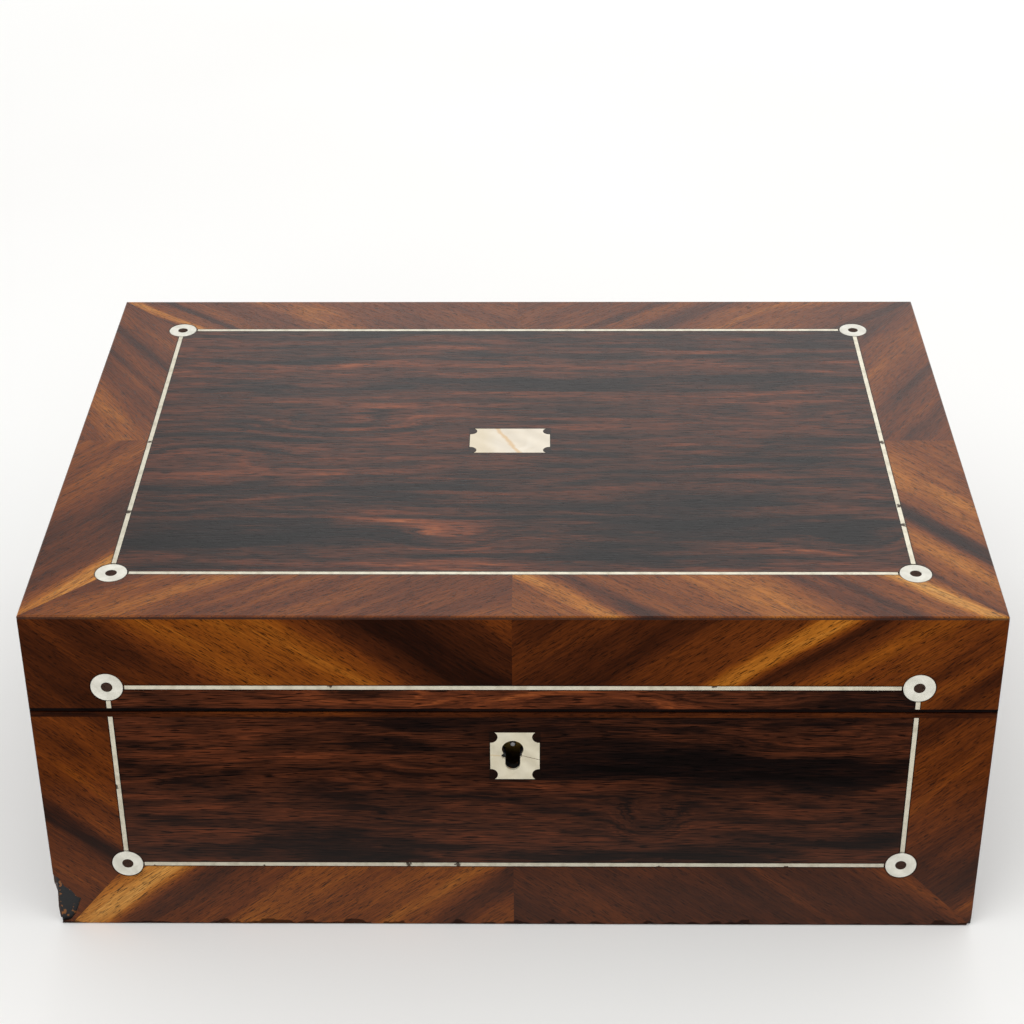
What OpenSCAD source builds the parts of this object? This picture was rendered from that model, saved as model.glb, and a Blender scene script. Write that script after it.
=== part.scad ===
// Veneered and inlaid box with a hinged lid, a link-plate lock and a lift-out tray.
// Frame: origin at the centre of the underside, +X to the right, +Y to the back, +Z up.

/* [Box] */
// Width of the closed box, left to right
box_w = 300; // [260:1:360]
// Depth of the closed box, front to back
box_d = 216; // [190:1:260]
// Height of the closed box
box_h = 122; // [115:1:150]
// Height of the base, up to the top of its rim
base_h = 86.3; // [84:0.1:92]
// Dark gap between the closed lid and the base
lid_gap = 0.5; // [0.3:0.1:0.8]
// Radius of the worn outer edges
edge_r = 0.7; // [0.4:0.1:0.9]

/* [Carcass] */
// Thickness of the wall boards
board_t = 9; // [9:0.5:10]
// Thickness of the bottom board and of the top board
flat_board_t = 7; // [6:0.5:8]
// Thickness of the sawn veneer
veneer_t = 1; // [0.8:0.1:1.2]
// Height of the lipping on the rim of the base
base_lip = 1.8; // [1.6:0.1:2.2]
// Height of the lipping on the rim of the lid
lid_lip = 1; // [1:0.1:1.4]

/* [Inlay] */
// Width of the crossbanding at the left and right, out to the middle of the string
band_w = 25; // [20:0.5:30]
// Depth of the crossbanding at the front and back of the top
top_band_d = 24.4; // [20:0.1:30]
// Height of the crossbanding along the top of the lid's front
lid_band_h = 26.3; // [24:0.1:28]
// Height of the crossbanding along the bottom of the base's front
base_band_h = 25.6; // [20:0.1:28]
// How far the base's left mitre misses the corner
mitre_slip = 4.2; // [0:0.1:5]
// Width of the inlaid string
string_w = 1.4; // [1:0.1:2]
// Diameter of the corner roundels
roundel_d = 10; // [8:0.1:12]
// Diameter of the dark dot in each roundel
dot_d = 3.6; // [3:0.1:4.5]
// Width of the cartouche on the top
cartouche_w = 27.4; // [22:0.1:34]
// Depth of the cartouche on the top
cartouche_d = 16.7; // [14:0.1:20]
// How far the cartouche was let in to the left of the middle
cartouche_left = 1.8; // [0:0.1:3]
// Width of the escutcheon
escutcheon_w = 15.5; // [14:0.1:20]
// Height of the escutcheon
escutcheon_h = 18.2; // [17:0.1:24]
// Height of the escutcheon's middle above the underside
escutcheon_z = 69.5; // [69:0.1:70]
// How far the escutcheon's middle sits to the right of the keyhole
escutcheon_x = 0.7; // [-0.8:0.1:0.8]

/* [Lock and hinges] */
// Length of each hinge
hinge_w = 40; // [34:1:44]
// Distance from the middle of the box to each hinge's middle
hinge_x = 84; // [60:1:100]
// How far the bolt slides when the lock is thrown
bolt_throw = 4; // [3.5:0.1:4]

/* [Tray] */
// Height of the tray's walls, its floor included
tray_h = 24; // [20:0.5:28]
// Thickness of the tray's outer walls
tray_wall = 4; // [3:0.5:5]
// Thickness of the tray's dividers
divider_t = 2.5; // [2:0.5:3]
// Half the width of the tray's middle compartment
middle_half = 66; // [50:1:90]

/* [Hidden] */
$fn = 64;
EDGE = 1; // how far a rough shape reaches past the surface that trims it
JOINT = 0.06; // width of a glued joint between two pieces of one group

half_w = box_w / 2;
half_d = box_d / 2;
core_w = half_w - veneer_t; // outer faces of the boards
core_d = half_d - veneer_t;
inner_w = core_w - board_t; // inner faces of the boards
inner_d = core_d - board_t;
lid_z = base_h + lid_gap; // underside of the lid's rim
split_z = base_h + lid_gap / 2;
base_core_z = base_h - base_lip; // top of the base's boards
lid_core_z = lid_z + lid_lip; // underside of the lid's boards
top_core_z = box_h - veneer_t; // top of the top board
ceiling_z = top_core_z - flat_board_t;
veneer_foot = 0.3; // the veneer stops this far above the underside

// Inlay
string_x = half_w - band_w;
string_y = half_d - top_band_d;
lid_string_z = box_h - lid_band_h;
base_string_z = base_band_h;
groove_w = string_w + 0.2;
roundel_pocket_r = roundel_d / 2 + 0.1;
string_end_gap = 0.5; // between a string's end and its roundel
BITE_R = 2.15; // round bites out of the corners of the two shell plates
BITE_IN = 0.2;
BITE_DOWN = 1.8;

// Keyhole and lock
key_z = escutcheon_z + 2.5; // centre of the round part of the keyhole
key_r = 3.25;
key_slot_w = 4.4;
key_foot_z = key_z - 7.9; // lowest point of the keyhole
drill_pin_r = 1;
lock_y = -inner_d; // the lock's plate is flush with the board's inner face
plate_t = 1.2;
lock_depth = 6.6;
lock_front_y = lock_y - lock_depth;
lock_half_w = 22;
plate_half_w = 26;
lock_foot_z = 60;
link_x = 12; // distance of each link from the middle
link_t = 2;
link_w = 3.6;
link_y = lock_y - 3.3;
link_foot_z = base_h - 8.8;
bolt_y = lock_y - 3.9; // front face of the bolt
bolt_t = 1.4;

// Hinges
leaf_t = 1;
leaf_front_y = inner_d + 1;
knuckle_r = 2.4;
pin_r = 1;
pin_play = 0.05;
hinge_y = half_d + knuckle_r + 0.2;
lid_knuckle_w = 14;
knuckle_gap = 0.2;
screw_y = core_d - 4.2;
SCREW_X = [-13, 0, 13];

// Tray and lining
tray_gap = 1; // between the tray and the walls
tray_floor_t = 2.5;
tray_top = base_h - 2;
tray_z = tray_top - tray_h;
tray_half_w = inner_w - tray_gap;
tray_half_d = inner_d - tray_gap;
tray_in_w = tray_half_w - tray_wall;
tray_in_d = tray_half_d - tray_wall;
shelf_w = 6; // width of the fillets that the tray rests on
rest_gap = 0.3;
pad_t = 1.6;
pad_inset = 0.4;
lid_pad_t = 6;
small_divider_y = tray_in_d / 3;
ribbon_w = 12;
ribbon_t = 0.5;
ribbon_loop = 3; // how far the ribbon's loop rises above the tray

// ---------- helpers ----------

// Rectangle with round corners, centred
module round_rect(w, h, r) {
    square([w - 2 * r, h], center = true);
    square([w, h - 2 * r], center = true);
    for (x = [-1, 1], y = [-1, 1])
        translate([x * (w / 2 - r), y * (h / 2 - r)]) circle(r = r);
}

// The whole outside of the closed box, with worn edges
module envelope() {
    intersection() {
        linear_extrude(box_h) round_rect(box_w, box_d, edge_r);
        translate([0, half_d + EDGE, box_h / 2]) rotate([90, 0, 0])
            linear_extrude(box_d + 2 * EDGE) round_rect(box_w, box_h, edge_r);
        translate([-half_w - EDGE, 0, box_h / 2]) rotate([90, 0, 90])
            linear_extrude(box_w + 2 * EDGE) round_rect(box_d, box_h, edge_r);
    }
}

// Veneer on the front: an outline in X and Z, trimmed to the outside of the box
module front_veneer() {
    intersection() {
        translate([0, -core_d, 0]) rotate([90, 0, 0])
            linear_extrude(veneer_t + EDGE) children();
        envelope();
    }
}

// Veneer on the top: an outline in X and Y
module top_veneer() {
    intersection() {
        translate([0, 0, top_core_z]) linear_extrude(veneer_t + EDGE) children();
        envelope();
    }
}

// Block between two corners
module block(low, high) {
    translate(low) cube(high - low);
}

// Both of a pair, mirrored left and right
module pair() {
    for (side = [0, 1]) mirror([side, 0, 0]) children();
}

// Four strips round a rectangle, mitred at the corners with a fine glued joint
module mitred_frame(out_w, out_d, in_w, in_d, low, high) {
    g = JOINT / 2;
    for (side = [-1, 1]) {
        translate([0, 0, low]) linear_extrude(high - low) polygon([
            [-out_w + g, side * out_d], [out_w - g, side * out_d],
            [in_w - g, side * in_d], [-in_w + g, side * in_d]]);
        translate([0, 0, low]) linear_extrude(high - low) polygon([
            [side * out_w, -out_d + g], [side * out_w, out_d - g],
            [side * in_w, in_d - g], [side * in_w, -in_d + g]]);
    }
}

// Shell plate outline: a rectangle with a round bite out of each corner
module bitten_plate(w, h, play = 0) {
    difference() {
        square([w + 2 * play, h + 2 * play], center = true);
        for (x = [-1, 1], y = [-1, 1])
            translate([x * (w / 2 - BITE_IN), y * (h / 2 - BITE_DOWN)])
                circle(r = BITE_R - play);
    }
}

// Countersunk slotted screw, head at z = 0 and pointing down
SCREW_HEAD_R = 2.1;
SCREW_R = 1;
module screw(length, play = 0, slotted = true) {
    difference() {
        union() {
            translate([0, 0, -leaf_t])
                cylinder(h = leaf_t, r1 = SCREW_R + play, r2 = SCREW_HEAD_R + play);
            translate([0, 0, -length]) cylinder(h = length - leaf_t / 2, r = SCREW_R + play);
        }
        if (slotted) block([-SCREW_HEAD_R, -0.25, -0.35], [SCREW_HEAD_R, 0.25, EDGE]);
    }
}
SCREW_PLAY = 0.05;

// ---------- inlay outlines ----------

// Grooves and pockets cut for the inlay of the top, in X and Y
module top_grooves() {
    for (side = [-1, 1]) {
        translate([0, side * string_y]) square([2 * string_x, groove_w], center = true);
        translate([side * string_x, 0]) square([groove_w, 2 * string_y], center = true);
        for (y = [-1, 1])
            translate([side * string_x, y * string_y]) circle(r = roundel_pocket_r);
    }
}

// Grooves and pockets cut for the inlay of the front, in X and Z
module front_grooves() {
    for (z = [base_string_z, lid_string_z]) {
        translate([0, z]) square([2 * string_x, groove_w], center = true);
        for (side = [-1, 1]) translate([side * string_x, z]) circle(r = roundel_pocket_r);
    }
    for (side = [-1, 1])
        translate([side * string_x - groove_w / 2, base_string_z])
            square([groove_w, lid_string_z - base_string_z]);
}

// Keyhole outline about the centre of its round part
module keyhole(play = 0) {
    circle(r = key_r + play);
    foot = key_z - key_foot_z - key_slot_w / 2;
    translate([-key_slot_w / 2 - play, -foot]) square([key_slot_w + 2 * play, foot]);
    translate([0, -foot]) circle(r = key_slot_w / 2 + play);
}

// Keyhole cut from y = back forward to the front face
module keyhole_cut(back, play) {
    translate([0, back, key_z]) rotate([90, 0, 0])
        linear_extrude(half_d + back + EDGE) keyhole(play);
}

// Lost veneer at the two bottom corners of the front, in X and Z
module corner_chips() {
    polygon([[-half_w - 1, 21.6], [-half_w + 1.6, 19.7], [-half_w + 3.3, 16.1],
        [-half_w + 5.4, 14.4], [-half_w + 7.1, 11.5], [-half_w + 8.4, 11.1],
        [-half_w + 7.7, 9.2], [-half_w + 6.6, 6.2], [-half_w + 5.9, 4.3],
        [-half_w + 3.9, 1.5], [-half_w + 1.2, 0.9], [-half_w + 0.9, -1],
        [-half_w - 1, -1]]);
    polygon([[half_w + 1, -1], [half_w - 1.6, -1], [half_w - 1.3, 1.6],
        [half_w - 0.4, 2.9], [half_w + 1, 3.4]]);
}

// Outlines of the bands, mitred from the box's corner to the string's corner.
// All are drawn for the left side and mirrored for the right.
module top_long_band() {
    polygon([[-half_w - 1, half_d + 1], [0, half_d + 1], [0, string_y],
        [-string_x, string_y], [-half_w, half_d]]);
}
module top_short_band() {
    polygon([[-half_w - 1, half_d + 1], [-half_w, half_d], [-string_x, string_y],
        [-string_x, 0], [-half_w - 1, 0]]);
}
module lid_long_band() {
    polygon([[-half_w + band_w / lid_band_h * veneer_t, top_core_z],
        [0, top_core_z], [0, lid_string_z], [-string_x, lid_string_z]]);
}
module lid_short_band() {
    polygon([[-half_w - 1, top_core_z], [-half_w + band_w / lid_band_h * veneer_t, top_core_z],
        [-string_x, lid_string_z], [-string_x, lid_core_z], [-half_w - 1, lid_core_z]]);
}
module base_long_band(slip) {
    foot_x = -half_w + slip + veneer_foot;
    polygon([[foot_x, veneer_foot], [0, veneer_foot], [0, base_string_z],
        [-string_x, base_string_z]]);
}
module base_short_band(slip) {
    foot_x = -half_w + slip + veneer_foot;
    polygon([[-half_w - 1, veneer_foot], [foot_x, veneer_foot], [-string_x, base_string_z],
        [-string_x, base_core_z], [-half_w - 1, base_core_z]]);
}

// One band of the top: side mirrors left to right, far mirrors back to front
module top_band(side, far) {
    top_veneer() difference() {
        mirror([side, 0]) mirror([0, far]) children();
        top_grooves();
    }
}

// One band of the front
module front_band(side) {
    front_veneer() difference() {
        mirror([side, 0]) children();
        front_grooves();
        corner_chips();
    }
}

// ---------- base: boards ----------

module base_front_board() {
    color("#6b3a26") difference() {
        block([-core_w, -core_d, flat_board_t], [core_w, -inner_d, base_core_z]);
        block([-lock_half_w - 0.2, lock_front_y - 0.2, lock_foot_z - 0.2],
            [lock_half_w + 0.2, lock_y + EDGE, base_h]);
        block([-plate_half_w - 0.2, lock_y - plate_t, lock_foot_z - 2.2],
            [plate_half_w + 0.2, lock_y + EDGE, base_h]);
        keyhole_cut(lock_y, 0);
        lock_screw_places() screw(6, SCREW_PLAY, false);
    }
}

module base_back_board() {
    color("#6b3a26") difference() {
        block([-core_w, inner_d, flat_board_t], [core_w, core_d, base_core_z]);
        base_hinge_screw_places() screw(8, SCREW_PLAY, false);
    }
}

module base_side_boards() {
    color("#6b3a26") pair()
        block([-core_w, -inner_d, flat_board_t], [-inner_w, inner_d, base_core_z]);
}

module base_bottom_board() {
    color("#5a3322") block([-core_w, -core_d, 0], [core_w, core_d, flat_board_t]);
}

// ---------- base: veneer and inlay ----------

module base_front_panel() {
    color("#33201c") front_veneer() difference() {
        translate([-string_x, base_string_z])
            square([2 * string_x, base_core_z - base_string_z]);
        front_grooves();
        translate([escutcheon_x, escutcheon_z])
            bitten_plate(escutcheon_w, escutcheon_h, 0.08);
    }
}

module base_band_bottom_left() {
    color("#8a4f26") front_band(0) base_long_band(mitre_slip);
}

module base_band_bottom_right() {
    color("#5a3424") front_band(1) base_long_band(0);
}

module base_band_left() {
    color("#6f3d25") front_band(0) base_short_band(mitre_slip);
}

module base_band_right() {
    color("#6b4028") front_band(1) base_short_band(0);
}

module base_side_veneers() {
    color("#4a2a20") difference() {
        pair() intersection() {
            block([-half_w - EDGE, -core_d, veneer_foot], [-core_w, core_d, base_core_z]);
            envelope();
        }
        // the lost corner veneer carries on round the left side
        translate([-half_w - EDGE, 0, 0]) rotate([90, 0, 90]) linear_extrude(veneer_t + EDGE)
            polygon([[-half_d, -1], [-core_d + 2.1, -1], [-core_d + 1.2, 5.5],
                [-core_d + 2.6, 10.8], [-core_d + 0.9, 15.2], [-half_d, 18.4]]);
    }
}

module base_back_veneer() {
    color("#432720") intersection() {
        block([-half_w - EDGE, core_d, veneer_foot],
            [half_w + EDGE, half_d + EDGE, base_core_z]);
        envelope();
    }
}

module base_rim_lipping() {
    color("#7a4026") intersection() {
        difference() {
            mitred_frame(half_w + EDGE, half_d + EDGE, inner_w, inner_d, base_core_z, base_h);
            block([-plate_half_w - 0.1, lock_front_y - 0.1, base_core_z - EDGE],
                [plate_half_w + 0.1, lock_y + EDGE, base_h + EDGE]);
            hinge_gains(base_h - leaf_t, base_h + EDGE);
            base_hinge_screw_places() screw(8, SCREW_PLAY, false);
        }
        envelope();
    }
}

// Short upright string of the front, between two heights
module upright_string(side, low, high) {
    translate([side * string_x - string_w / 2, low]) square([string_w, high - low]);
}

module base_stringing() {
    reach = roundel_d / 2 + string_end_gap;
    color("#cfc9b4") intersection() {
        translate([0, -core_d, 0]) rotate([90, 0, 0]) linear_extrude(veneer_t + EDGE) {
            for (side = [-1, 1])
                upright_string(side, base_string_z + reach, base_core_z);
            translate([0, base_string_z])
                square([2 * (string_x - reach), string_w], center = true);
        }
        envelope();
    }
}

// One roundel, its face at z = 0 and its body below
module roundel() {
    translate([0, 0, -veneer_t]) difference() {
        cylinder(h = veneer_t, r = roundel_d / 2);
        translate([0, 0, -EDGE]) cylinder(h = veneer_t + 2 * EDGE, r = dot_d / 2);
    }
}

// The dark dot in a roundel, worn a little below its face
module roundel_dot() {
    translate([0, 0, -veneer_t]) cylinder(h = veneer_t - 0.15, r = dot_d / 2 - 0.03);
}

module on_front(x, z) {
    translate([x, -half_d, z]) rotate([90, 0, 0]) children();
}

module base_roundels() {
    color("#d8d8cf") for (side = [-1, 1]) on_front(side * string_x, base_string_z) roundel();
}

module base_roundel_dots() {
    color("#2c1f1b") for (side = [-1, 1])
        on_front(side * string_x, base_string_z) roundel_dot();
}

// Shell plate round the keyhole, chipped at the keyhole's two shoulders
module escutcheon() {
    color("#cdc4a6") difference() {
        translate([escutcheon_x, -core_d, escutcheon_z]) rotate([90, 0, 0])
            linear_extrude(veneer_t) bitten_plate(escutcheon_w, escutcheon_h);
        keyhole_cut(-core_d + EDGE, 0.15);
        for (chip = [[-2.6, -2.6, 1], [2.3, -2.4, 0.7]])
            translate([chip[0], -core_d + EDGE, key_z + chip[1]]) rotate([90, 0, 0])
                cylinder(r = chip[2], h = veneer_t + 2 * EDGE);
    }
}

// ---------- lock ----------

module lock_screw_places() {
    for (x = [-1, 1], z = [lock_foot_z + 5, base_h - 7])
        translate([x * (lock_half_w + 2), lock_y, z]) rotate([-90, 0, 0]) children();
}

// Folded case that is let into the front board, open at its top and back
module lock_case() {
    wall = 1;
    color("#a88a4a") difference() {
        block([-lock_half_w, lock_front_y, lock_foot_z],
            [lock_half_w, lock_y - plate_t, base_h - plate_t]);
        block([-lock_half_w + wall, lock_front_y + wall, lock_foot_z + wall],
            [lock_half_w - wall, lock_y, base_h]);
        keyhole_cut(lock_y, 0.1);
    }
}

// Back plate and rim plate, folded from one piece of brass
module lock_plate() {
    color("#b59350") difference() {
        union() {
            block([-plate_half_w, lock_y - plate_t, lock_foot_z - 2],
                [plate_half_w, lock_y, base_h]);
            block([-plate_half_w, lock_front_y, base_h - plate_t],
                [plate_half_w, lock_y, base_h]);
        }
        for (x = [-1, 1]) translate([x * link_x, link_y, base_h])
            cube([link_t + 1.4, link_w + 1, 4 * plate_t], center = true);
        lock_screw_places() screw(6, SCREW_PLAY, false);
    }
}

// Fixed pin that the hollow key turns on
module lock_drill_pin() {
    color("#8d8f92") translate([0, lock_y - plate_t, key_z]) rotate([90, 0, 0]) {
        cylinder(h = 5.6, r = drill_pin_r);
        translate([0, 0, 5.6]) cylinder(h = 0.4, r1 = drill_pin_r, r2 = drill_pin_r - 0.3);
    }
}

// Lever with its leaf spring, which holds the bolt where the key leaves it
module lock_lever() {
    y = lock_front_y + 1.2;
    color("#8d8f92") translate([0, y + 1, 0]) rotate([90, 0, 0]) linear_extrude(1) {
        difference() {
            polygon([[-19, 66.5], [-5, 66.5], [-5, 71], [-7, 75.5], [-19, 75.5]]);
            translate([-16.5, 71]) circle(r = 1.2);
        }
        intersection() {
            translate([-12, 70]) difference() {
                circle(r = 8.4);
                circle(r = 8);
            }
            translate([-20, 61.5]) square([20, 5.2]);
        }
    }
}

// Bolt with two fingers that slide through the links, drawn back in its unlocked place
module lock_bolt() {
    clear = 0.4; // left in front of each finger
    stem_w = 2.4;
    stem_gap = bolt_throw + 1.5 * clear; // from a stem to its link
    foot = link_foot_z - 2.9;
    finger_z = link_foot_z + 1.9;
    top = link_foot_z + 5.1;
    links = [-link_x - link_t / 2, link_x - link_t / 2]; // left face of each link
    color("#c2a25e") translate([0, bolt_y + bolt_t, 0]) rotate([90, 0, 0])
        linear_extrude(bolt_t) difference() {
            union() {
                translate([links[0] - stem_gap - stem_w, foot])
                    square([links[1] - links[0] + stem_w, 2.3]);
                for (x = links) {
                    translate([x - stem_gap - stem_w, foot]) square([stem_w, top - foot]);
                    translate([x - stem_gap - stem_w, finger_z])
                        square([stem_w + stem_gap - clear, top - finger_z]);
                }
            }
            translate([-3, foot - 1]) square([5, 1.9]); // the talon that the key pushes
        }
}

// ---------- hinges ----------

module at_hinges() {
    for (side = [-1, 1]) translate([side * hinge_x, 0, 0]) children();
}

// Shallow seats cut in a rim for the hinge leaves
module hinge_gains(low, high) {
    at_hinges() block([-hinge_w / 2 - 0.1, leaf_front_y - 0.1, low],
        [hinge_w / 2 + 0.1, half_d + 2 * EDGE, high]);
}

module base_hinge_screw_places() {
    at_hinges() for (x = SCREW_X) translate([x, screw_y, base_h]) children();
}

module lid_hinge_screw_places() {
    at_hinges() for (x = SCREW_X) translate([x, screw_y, lid_z]) rotate([180, 0, 0]) children();
}

// Length of barrel along X about the hinge axis
module barrel(x0, x1) {
    translate([x0, hinge_y, split_z]) rotate([0, 90, 0]) cylinder(h = x1 - x0, r = knuckle_r);
}

module pin_bore() {
    translate([-hinge_w, hinge_y, split_z]) rotate([0, 90, 0])
        cylinder(h = 2 * hinge_w, r = pin_r + pin_play);
}

module hinge_base_leaves() {
    k = lid_knuckle_w / 2 + knuckle_gap;
    color("#b59350") difference() {
        union() {
            at_hinges() block([-hinge_w / 2, leaf_front_y, base_h - leaf_t],
                [hinge_w / 2, half_d, base_h]);
            at_hinges() for (span = [[-hinge_w / 2, -k], [k, hinge_w / 2]]) {
                block([span[0], half_d - EDGE, base_h - leaf_t], [span[1], hinge_y, base_h]);
                barrel(span[0], span[1]);
            }
        }
        at_hinges() pin_bore();
        base_hinge_screw_places() screw(8, SCREW_PLAY, false);
    }
}

module hinge_lid_leaves() {
    k = lid_knuckle_w / 2;
    color("#b59350") difference() {
        union() {
            at_hinges() block([-hinge_w / 2, leaf_front_y, lid_z],
                [hinge_w / 2, half_d, lid_z + leaf_t]);
            at_hinges() {
                block([-k, half_d - EDGE, lid_z], [k, hinge_y, lid_z + leaf_t]);
                barrel(-k, k);
            }
        }
        at_hinges() pin_bore();
        lid_hinge_screw_places() screw(8, SCREW_PLAY, false);
    }
}

module hinge_pins() {
    color("#a08048") at_hinges() translate([-hinge_w / 2 - 0.3, hinge_y, split_z])
        rotate([0, 90, 0]) cylinder(h = hinge_w + 0.6, r = pin_r);
}

module base_screws() {
    color("#9a9070") {
        base_hinge_screw_places() rotate([0, 0, 35]) screw(8);
        lock_screw_places() rotate([0, 0, 20]) screw(6);
    }
}

// ---------- inside of the base ----------

module tray_shelves() {
    color("#6b3a26") pair() block([-inner_w, -inner_d, flat_board_t],
        [-inner_w + shelf_w, inner_d, tray_z - rest_gap]);
}

module base_floor_pad() {
    gap = shelf_w + pad_inset;
    color("#7c2230") block([-inner_w + gap, -inner_d + pad_inset, flat_board_t],
        [inner_w - gap, inner_d - pad_inset, flat_board_t + pad_t]);
}

// ---------- lid: boards ----------

// Seat and screws of the link plate in the lid's rim
module link_plate_seat(play) {
    block([-plate_half_w - play, lock_front_y - play, lid_z - EDGE],
        [plate_half_w + play, lock_y + EDGE, lid_core_z]);
}

module link_screw_places() {
    for (x = [-1, 1]) translate([x * (plate_half_w - 5), link_y, lid_z])
        rotate([180, 0, 0]) children();
}

module lid_front_board() {
    color("#6b3a26") difference() {
        block([-core_w, -core_d, lid_core_z], [core_w, -inner_d, ceiling_z]);
        link_screw_places() screw(8, SCREW_PLAY, false);
    }
}

module lid_back_board() {
    color("#6b3a26") difference() {
        block([-core_w, inner_d, lid_core_z], [core_w, core_d, ceiling_z]);
        lid_hinge_screw_places() screw(8, SCREW_PLAY, false);
    }
}

module lid_side_boards() {
    color("#6b3a26") pair()
        block([-core_w, -inner_d, lid_core_z], [-inner_w, inner_d, ceiling_z]);
}

module lid_top_board() {
    color("#6b3a26") block([-core_w, -core_d, ceiling_z], [core_w, core_d, top_core_z]);
}

// ---------- lid: veneer and inlay ----------

module top_panel() {
    color("#4a3230") top_veneer() difference() {
        square([2 * string_x, 2 * string_y], center = true);
        top_grooves();
        translate([-cartouche_left, 0]) bitten_plate(cartouche_w, cartouche_d, 0.08);
    }
}

module top_band_back_left() {
    color("#7a4630") top_band(0, 0) top_long_band();
}

module top_band_back_right() {
    color("#744330") top_band(1, 0) top_long_band();
}

module top_band_front_left() {
    color("#84502f") top_band(0, 1) top_long_band();
}

module top_band_front_right() {
    color("#7e4a2c") top_band(1, 1) top_long_band();
}

module top_band_left_back() {
    color("#6e4032") top_band(0, 0) top_short_band();
}

module top_band_left_front() {
    color("#704030") top_band(0, 1) top_short_band();
}

module top_band_right_back() {
    color("#7a4a30") top_band(1, 0) top_short_band();
}

module top_band_right_front() {
    color("#84502c") top_band(1, 1) top_short_band();
}

module lid_band_front_left() {
    color("#8a4f26") front_band(0) lid_long_band();
}

module lid_band_front_right() {
    color("#6b3c26") front_band(1) lid_long_band();
}

module lid_band_left() {
    color("#5e3524") front_band(0) lid_short_band();
}

module lid_band_right() {
    color("#6b3c26") front_band(1) lid_short_band();
}

module lid_front_strip() {
    color("#4a2a1e") front_veneer() difference() {
        translate([-string_x, lid_core_z])
            square([2 * string_x, lid_string_z - lid_core_z]);
        front_grooves();
    }
}

module lid_side_veneers() {
    color("#4a2a20") pair() intersection() {
        block([-half_w - EDGE, -core_d, lid_core_z], [-core_w, core_d, top_core_z]);
        envelope();
    }
}

module lid_back_veneer() {
    color("#432720") intersection() {
        block([-half_w - EDGE, core_d, lid_core_z],
            [half_w + EDGE, half_d + EDGE, top_core_z]);
        envelope();
    }
}

module lid_rim_lipping() {
    color("#2c1c18") intersection() {
        difference() {
            mitred_frame(half_w + EDGE, half_d + EDGE, inner_w, inner_d, lid_z, lid_core_z);
            link_plate_seat(0.1);
            hinge_gains(lid_z - EDGE, lid_core_z + EDGE);
        }
        envelope();
    }
}

module lid_stringing() {
    reach = roundel_d / 2 + string_end_gap;
    color("#cfc9b4") intersection() {
        union() {
            translate([0, 0, top_core_z]) linear_extrude(veneer_t + EDGE) {
                for (side = [-1, 1]) {
                    translate([0, side * string_y])
                        square([2 * (string_x - reach), string_w], center = true);
                    translate([side * string_x, 0])
                        square([string_w, 2 * (string_y - reach)], center = true);
                }
            }
            translate([0, -core_d, 0]) rotate([90, 0, 0]) linear_extrude(veneer_t + EDGE) {
                for (side = [-1, 1])
                    upright_string(side, lid_core_z, lid_string_z - roundel_d / 2 - 0.2);
                translate([0, lid_string_z])
                    square([2 * (string_x - reach), string_w], center = true);
            }
        }
        envelope();
    }
}

module at_lid_roundels() {
    for (side = [-1, 1]) {
        for (y = [-1, 1]) translate([side * string_x, y * string_y, box_h]) children();
        on_front(side * string_x, lid_string_z) children();
    }
}

module lid_roundels() {
    color("#d8d8cf") at_lid_roundels() roundel();
}

module lid_roundel_dots() {
    color("#2c1f1b") at_lid_roundels() roundel_dot();
}

module cartouche() {
    color("#ded5c0") translate([-cartouche_left, 0, top_core_z])
        linear_extrude(veneer_t) bitten_plate(cartouche_w, cartouche_d);
}

// ---------- lid: lock, hinges and lining ----------

// Plate in the lid's rim with two links that drop into the lock
module link_plate() {
    color("#b59350") difference() {
        union() {
            block([-plate_half_w, lock_front_y, lid_z], [plate_half_w, lock_y, lid_core_z]);
            for (x = [-link_x, link_x]) block(
                [x - link_t / 2, link_y - link_w / 2, link_foot_z],
                [x + link_t / 2, link_y + link_w / 2, lid_z + lid_lip / 2]);
        }
        for (x = [-link_x, link_x]) block(
            [x - link_t, bolt_y - 0.2, link_foot_z + 1.5],
            [x + link_t, bolt_y + bolt_t + 0.2, link_foot_z + 5.5]);
        link_screw_places() screw(8, SCREW_PLAY, false);
    }
}

module lid_screws() {
    color("#9a9070") {
        lid_hinge_screw_places() rotate([0, 0, 50]) screw(8);
        link_screw_places() rotate([0, 0, 15]) screw(8);
    }
}

module lid_lining_pad() {
    color("#7c2230") block([-inner_w + pad_inset, -inner_d + pad_inset, ceiling_z - lid_pad_t],
        [inner_w - pad_inset, inner_d - pad_inset, ceiling_z]);
}

// ---------- tray ----------

module tray_floor() {
    color("#6b3a26") block([-tray_half_w, -tray_half_d, tray_z],
        [tray_half_w, tray_half_d, tray_z + tray_floor_t]);
}

module tray_walls() {
    color("#4a2a20") mitred_frame(tray_half_w, tray_half_d, tray_in_w, tray_in_d,
        tray_z + tray_floor_t, tray_top);
}

module tray_dividers() {
    low = tray_z + tray_floor_t;
    high = tray_top - 2;
    color("#4a2a20") pair() {
        block([-middle_half - divider_t, -tray_in_d + JOINT, low],
            [-middle_half, tray_in_d - JOINT, high]);
        for (y = [-small_divider_y, small_divider_y])
            block([-tray_in_w + JOINT, y - divider_t / 2, low],
                [-middle_half - divider_t - JOINT, y + divider_t / 2, high]);
    }
}

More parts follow.
